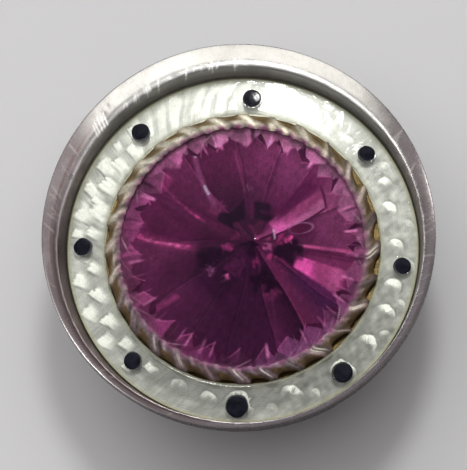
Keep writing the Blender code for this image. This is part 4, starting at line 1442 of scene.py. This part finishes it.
def stone_tone(ang, out, x, y):
    """Screen colour of the stone seen from the front, with its light, shade, glints and reflections
    painted in.
    """
    near = np.where(ang > 180, ang - 360, ang)
    colour = facet_tone(ang, out)
    colour = paint_streaks(colour, ang, out, near, x, y)
    colour = paint_middle(colour, ang, out, near, x, y)
    colour = paint_girdle(colour, ang, out, x, y)
    # cloudiness: fine streaks along the facets, and grain
    lift = (np.interp(ang, LIFT_AT, LIFT) - 1) * smooth(0.12, 0.34, out) * smooth(0.94, 0.86, out)
    colour = colour * (1 + lift)[..., None]
    a = np.radians(ang)
    fade = 0.5 + 0.5 * np.cos(9.0 * out + 3.0 * ripple(a, 509, 3, 9))
    grain = 0.06 * (ripple(a + 0.25 * out, 508, 40, 160, 16) * fade)
    for weight, seed, size in ((0.09, 502, 0.55), (0.07, 503, 0.16), (0.05, 510, 0.08)):
        grain = grain + weight * cloud(x, y, seed, size)
    return np.clip(colour * (1 + grain)[..., None], 4, 255)


# ---------------------------------------------------------------- stone

APEX = np.array([0.50, 0.00, 3.35])     # the point of the star, off the stone's centre
MAINS, STAR_R = 14, 4.28
SIDES = 2 * MAINS
PAVILION_AROUND, PAVILION_STEPS = SIDES * 44, 120
STONE_GAIN = 0.66
SEEN_R = 4.98                           # the edge of the stone as seen


def seen(points):
    """Where points of the stone fall on the girdle's plane, looking from the camera."""
    drop = (points[..., 2] - GIRDLE_TOP) / VIEW[2]
    return points[..., 0] - VIEW[0] * drop, points[..., 1] - VIEW[1] * drop


def tone_at(points):
    x, y = seen(points)
    apex_x, apex_y = seen(APEX)
    ang = np.degrees(np.arctan2(y - apex_y, x - apex_x)) % 360.0
    along = apex_x * np.cos(np.radians(ang)) + apex_y * np.sin(np.radians(ang))
    inside = along * along - (apex_x * apex_x + apex_y * apex_y - SEEN_R**2)
    reach = -along + np.sqrt(np.maximum(inside, 0))
    tone = stone_tone(ang, np.hypot(x - apex_x, y - apex_y) / reach, x, y)
    return (linear(tone) * STONE_GAIN).reshape(-1, 3)


def pavilion_mesh():
    """Rear cone with flat sides, fine enough to carry the colours. Points, colours and faces."""
    turn, out = grid(
        turns(PAVILION_AROUND), np.linspace(1.0, 0.0, PAVILION_STEPS + 1)[:-1]
    )
    sector = (turn / (TAU / SIDES)) % 1.0 - 0.5
    r = STONE_R * out * (math.cos(math.pi / SIDES) / np.cos(sector * TAU / SIDES))
    z = CULET_Z + (GIRDLE_LOW - CULET_Z) * out
    cone = np.stack([r * np.cos(turn), r * np.sin(turn), z], -1)
    culet = np.array([[0, 0, CULET_Z]])
    faces = ring_faces(PAVILION_AROUND, PAVILION_STEPS, False)[:, ::-1].tolist()
    tip = PAVILION_AROUND * PAVILION_STEPS
    last = PAVILION_STEPS - 1
    for i in range(PAVILION_AROUND):
        after = (i + 1) % PAVILION_AROUND
        faces.append([i * PAVILION_STEPS + last, tip, after * PAVILION_STEPS + last])
    points = np.concatenate([cone.reshape(-1, 3), culet])
    return points, np.concatenate([tone_at(cone), tone_at(culet)]), faces


def crown_mesh():
    """Fourteen kites to the point, two small facets between each pair, and the girdle."""
    points = [APEX]
    slope = (APEX[2] - GIRDLE_TOP) / STONE_R
    star_z = APEX[2] - slope * STAR_R * math.cos(math.pi / MAINS)
    for k in range(MAINS):
        a = TAU * (k + 0.5) / MAINS
        points.append((STAR_R * math.cos(a), STAR_R * math.sin(a), star_z))
    for z in (GIRDLE_TOP, GIRDLE_LOW):
        for k in range(SIDES):
            a = math.pi * k / MAINS
            points.append((STONE_R * math.cos(a), STONE_R * math.sin(a), z))
    stars = range(1, 1 + MAINS)
    top = range(1 + MAINS, 1 + MAINS + SIDES)
    low = range(1 + MAINS + SIDES, 1 + MAINS + 2 * SIDES)
    faces = []
    for k in range(MAINS):
        left, right = stars[k - 1], stars[k]
        main, mid, after = top[2 * k], top[2 * k + 1], top[(2 * k + 2) % SIDES]
        faces += [(0, left, main), (0, main, right), (right, main, mid), (right, mid, after)]
    for k in range(SIDES):
        j = (k + 1) % SIDES
        faces.append((low[k], low[j], top[j], top[k]))

    bm = bmesh.new()
    verts = [bm.verts.new(p) for p in points]
    for face in faces:
        bm.faces.new([verts[i] for i in face])
    bmesh.ops.recalc_face_normals(bm, faces=bm.faces[:])
    edges = [e for e in bm.edges if len(e.link_faces) == 2]
    bmesh.ops.bevel(
        bm, geom=edges, offset=0.020, segments=2, profile=0.5, affect="EDGES", clamp_overlap=True
    )
    bm.verts.ensure_lookup_table()
    bm.verts.index_update()
    points = np.array([v.co[:] for v in bm.verts])
    faces = [[v.index for v in f.verts] for f in bm.faces]
    facing_up = sum(f.normal.z for f in bm.faces)
    bm.free()
    if facing_up < 0:
        faces = [f[::-1] for f in faces]
    return points, faces


def pavilion_look():
    """The foiled back of the stone, seen through it, carrying the stone's painted light and shade."""
    mat = Look("paste_pavilion_look")
    pos = mat.pos()
    fine = mat.noise(pos, scale=7, detail=4, rough=0.6, warp=0.3)
    speck = mat.noise(pos, scale=17, rough=0.7, warp=0.2)
    dim = mat.ramp(fine, (0.35, 0.7), to=(0, 0.22))
    colour = mat.mix(dim, mat.attr("tone", "Color"), (0.05, 0.008, 0.035))
    colour = mat.mix(1.0, colour, mat.ramp(speck, (0.30, 0.70), to=(0.80, 1.26)), "MULTIPLY")
    return mat.done(mat.node(
        "BsdfPrincipled", Base_Color=colour, Roughness=0.6, Specular_IOR_Level=0.0
    ))


def crown_look():
    """The stone's polished front."""
    mat = Look("paste_crown_look")
    pos = mat.pos()
    fine = mat.noise(pos, scale=5, detail=3, rough=0.6)
    scratch = mat.noise(mat.scale(pos, (1.2, 9, 1)), scale=2.2, warp=0.4)
    scratch = mat.mul(mat.ramp(scratch, (0.66, 0.72)), 0.05)
    normal = mat.bump(mat.add(mat.noise(pos, scale=1.6), scratch), depth=0.004)
    clear = mat.node("BsdfTransparent", Color=(0.97, 0.90, 0.95))
    haze = mat.node("BsdfDiffuse", Color=(0.62, 0.52, 0.60))
    gloss = mat.node(
        "BsdfAnisotropic", Color=(1.0, 0.97, 1.0), Normal=normal,
        Roughness=mat.ramp(fine, (0.35, 0.75), to=(0.03, 0.09)),
    )
    inside = mat.mix_shader(mat.ramp(fine, (0.45, 0.85), to=(0, 0.008)), clear, haze)
    return mat.done(mat.glaze(inside, gloss, normal, ior=1.54, limit=0.024))


def make_stone():
    rear, tone, rear_faces = pavilion_mesh()
    crown, crown_faces = crown_mesh()
    points = np.concatenate([rear, crown])
    points[:, :2] += FACE
    tone = np.concatenate([tone, np.tile([[0.2, 0.02, 0.1]], (len(crown), 1))])
    tone = np.concatenate([tone, np.ones((len(tone), 1))], 1)
    make("stone", points, rear_faces + [[i + len(rear) for i in f] for f in crown_faces],
         [pavilion_look(), crown_look()], "paste_stone",
         attrs={"tone": tone}, index=[0] * len(rear_faces) + [1] * len(crown_faces), flat=True)


make_stone()


# ---------------------------------------------------------------- floor

FLOOR_Z = -0.002                        # from the row's origin
FLOOR_AROUND, FLOOR_RADII = 96, (30.0, 120.0, 500.0, 1500.0)


def floor_look():
    """Pale, but darker where it is mirrored in the button."""
    mat = Look("floor_look")
    soft = mat.noise(mat.pos(), scale=0.02)
    pale = mat.mix(mat.ramp(soft, (0.3, 0.7)), (0.52, 0.52, 0.53), (0.55, 0.55, 0.55))
    mirrored = mat.new("LightPath").outputs["Is Glossy Ray"]
    return mat.done(mat.node(
        "BsdfPrincipled", Base_Color=mat.mix(mirrored, pale, (0.16, 0.155, 0.165)),
        Roughness=0.8, Specular_IOR_Level=0.1,
    ))


def make_floor():
    points = [(0, 0, FLOOR_Z * MM)]
    for r in FLOOR_RADII:
        points += [
            (r * math.cos(a) * MM, r * math.sin(a) * MM, FLOOR_Z * MM)
            for a in turns(FLOOR_AROUND)
        ]
    faces = [(0, 1 + i, 1 + (i + 1) % FLOOR_AROUND) for i in range(FLOOR_AROUND)]
    for m in range(len(FLOOR_RADII) - 1):
        inner, outer = 1 + m * FLOOR_AROUND, 1 + (m + 1) * FLOOR_AROUND
        for i in range(FLOOR_AROUND):
            j = (i + 1) % FLOOR_AROUND
            faces.append((inner + i, outer + i, outer + j, inner + j))
    mesh = bpy.data.meshes.new("floor")
    mesh.from_pydata(points, [], faces)
    mesh.materials.append(floor_look())
    add_object("floor", mesh)


make_floor()


# ---------------------------------------------------------------- lights, in metres

FOCUS = Vector((0.0, 0.0, (REAR_Z + 2.0) * MM))
LIGHT_DISTANCE = 0.30


def pose(x, y, z, at):
    """Matrix from three axes and a place."""
    return Matrix([(x[i], y[i], z[i], at[i]) for i in range(3)] + [(0, 0, 0, 1)])


def panel(name, azimuth, tilt, width, height, radiance, colour,
          glossy=True, diffuse=True, ellipse=False):
    """A soft light: azimuth from +X and tilt from straight up; width and height are degrees
    as seen from the button."""
    a, t = math.radians(azimuth), math.radians(tilt)
    z = Vector((math.sin(t) * math.cos(a), math.sin(t) * math.sin(a), math.cos(t)))
    data = bpy.data.lights.new(name, "AREA")
    w, h = (2 * LIGHT_DISTANCE * math.tan(math.radians(size / 2)) for size in (width, height))
    data.shape = "ELLIPSE" if ellipse else "RECTANGLE"
    data.size, data.size_y = w, h
    data.energy = radiance * math.pi * (w * h * (math.pi / 4 if ellipse else 1.0))
    data.color = colour
    obj = add_object(name, data)
    x = Vector((0, 0, 1)).cross(z).normalized()
    at = [f + c * LIGHT_DISTANCE for f, c in zip(FOCUS, z)]
    obj.matrix_world = pose(x, z.cross(x), z, at)
    obj.visible_camera = False
    obj.visible_glossy = glossy
    obj.visible_diffuse = diffuse


# three lights come in pairs, one seen only in reflections and one lighting only dull surfaces
KEY = dict(azimuth=119.0, tilt=67.0, width=27.0, height=38.0)
SIDE = dict(azimuth=82.0, tilt=70.0, width=46.0, height=38.0)
SPOT = dict(azimuth=84.5, tilt=30.3, width=11.5, height=11.5, ellipse=True)
WHITE = (1.0, 1.0, 1.0)
panel("key", **KEY, radiance=1.55, colour=(1.0, 0.99, 0.955), diffuse=False)
panel("key_soft", **KEY, radiance=3.2, colour=(1.0, 0.995, 0.98), glossy=False)
panel("side", **SIDE, radiance=1.40, colour=(1.0, 0.985, 0.94), diffuse=False)
panel("side_soft", **SIDE, radiance=1.7, colour=(1.0, 0.99, 0.96), glossy=False)
panel("spot", **SPOT, radiance=46.0, colour=(1.0, 1.0, 0.99), diffuse=False)
panel("spot_soft", **SPOT, radiance=38.0, colour=(1.0, 1.0, 0.99), glossy=False)
panel("strip_left", azimuth=207.0, tilt=84.5, width=26.0, height=7.0, radiance=3.8, colour=WHITE)
panel("strip_right", azimuth=26.0, tilt=83.0, width=12.0, height=9.0, radiance=4.0, colour=WHITE)
panel("fill", azimuth=110.0, tilt=25.0, width=70.0, height=70.0, radiance=1.50,
      colour=(1.0, 0.995, 0.985), glossy=False)


# ---------------------------------------------------------------- world

# sky colour by height, 0 at the horizon and 1 overhead; the ends come first
SKY = (
    (0.0, (0.34, 0.31, 0.32, 1)), (1.0, (0.085, 0.080, 0.085, 1)), (0.25, (0.36, 0.33, 0.34, 1)),
    (0.55, (0.30, 0.275, 0.29, 1)), (0.80, (0.215, 0.205, 0.218, 1)),
)


def studio():
    """Grey sky, brighter towards the upper left; the camera sees an even grey."""
    sky = Look("studio", world=True)
    generated = sky.new("TexCoord").outputs["Generated"]
    ray = sky.fill(sky.new("VectorMath", operation="NORMALIZE"), [(0, generated)])
    split = sky.new("SeparateXYZ")
    sky.fill(split, [(0, ray)])
    ramp = sky.new("ValToRGB")
    shade = sky.fill(ramp, [(0, split.outputs["Z"])])
    stops = ramp.color_ramp.elements
    for stop, (place, colour) in zip(stops[:], SKY):
        stop.position, stop.color = place, colour
    for place, colour in SKY[2:]:
        stops.new(place).color = colour
    toward = sky.new("VectorMath", operation="DOT_PRODUCT")
    sky.fill(toward, ((0, ray), (1, (-0.72, 0.62, 0.0))))
    gain = sky.ramp(toward.outputs["Value"], (-0.8, 0.9), to=(0.60, 1.45))
    light = sky.fill(sky.new("VectorMath", operation="SCALE"), ((0, shade), ("Scale", gain)))
    to_camera = sky.new("LightPath").outputs["Is Camera Ray"]
    colour = sky.mix(to_camera, light, (0.66, 0.66, 0.67))
    return sky.done(sky.node("Background", Color=colour, Strength=1.0))


scene = bpy.context.scene
scene.world = studio()
scene.view_settings.view_transform = "Standard"
scene.view_settings.look = "None"


# ---------------------------------------------------------------- camera

CAMERA_DISTANCE = 0.25
SENSOR, FIELD = 36.0, 19.056            # sensor width, and width in view at the aim


def make_camera():
    back = Vector(VIEW).normalized()
    up = (Vector((0, 1, 0)) - back * back.y).normalized()
    right = up.cross(back)
    aim = Vector((0, 0, REAR_Z * MM)) + right * (-0.2924 * MM) + up * (0.4269 * MM)
    data = bpy.data.cameras.new("camera")
    data.sensor_fit = "HORIZONTAL"
    data.sensor_width = SENSOR
    data.lens = SENSOR * (CAMERA_DISTANCE / MM) / FIELD
    data.clip_start, data.clip_end = 0.01, 10.0
    camera = add_object("camera", data)
    camera.matrix_world = pose(right, up, back, aim + back * CAMERA_DISTANCE)
    scene.camera = camera


make_camera()
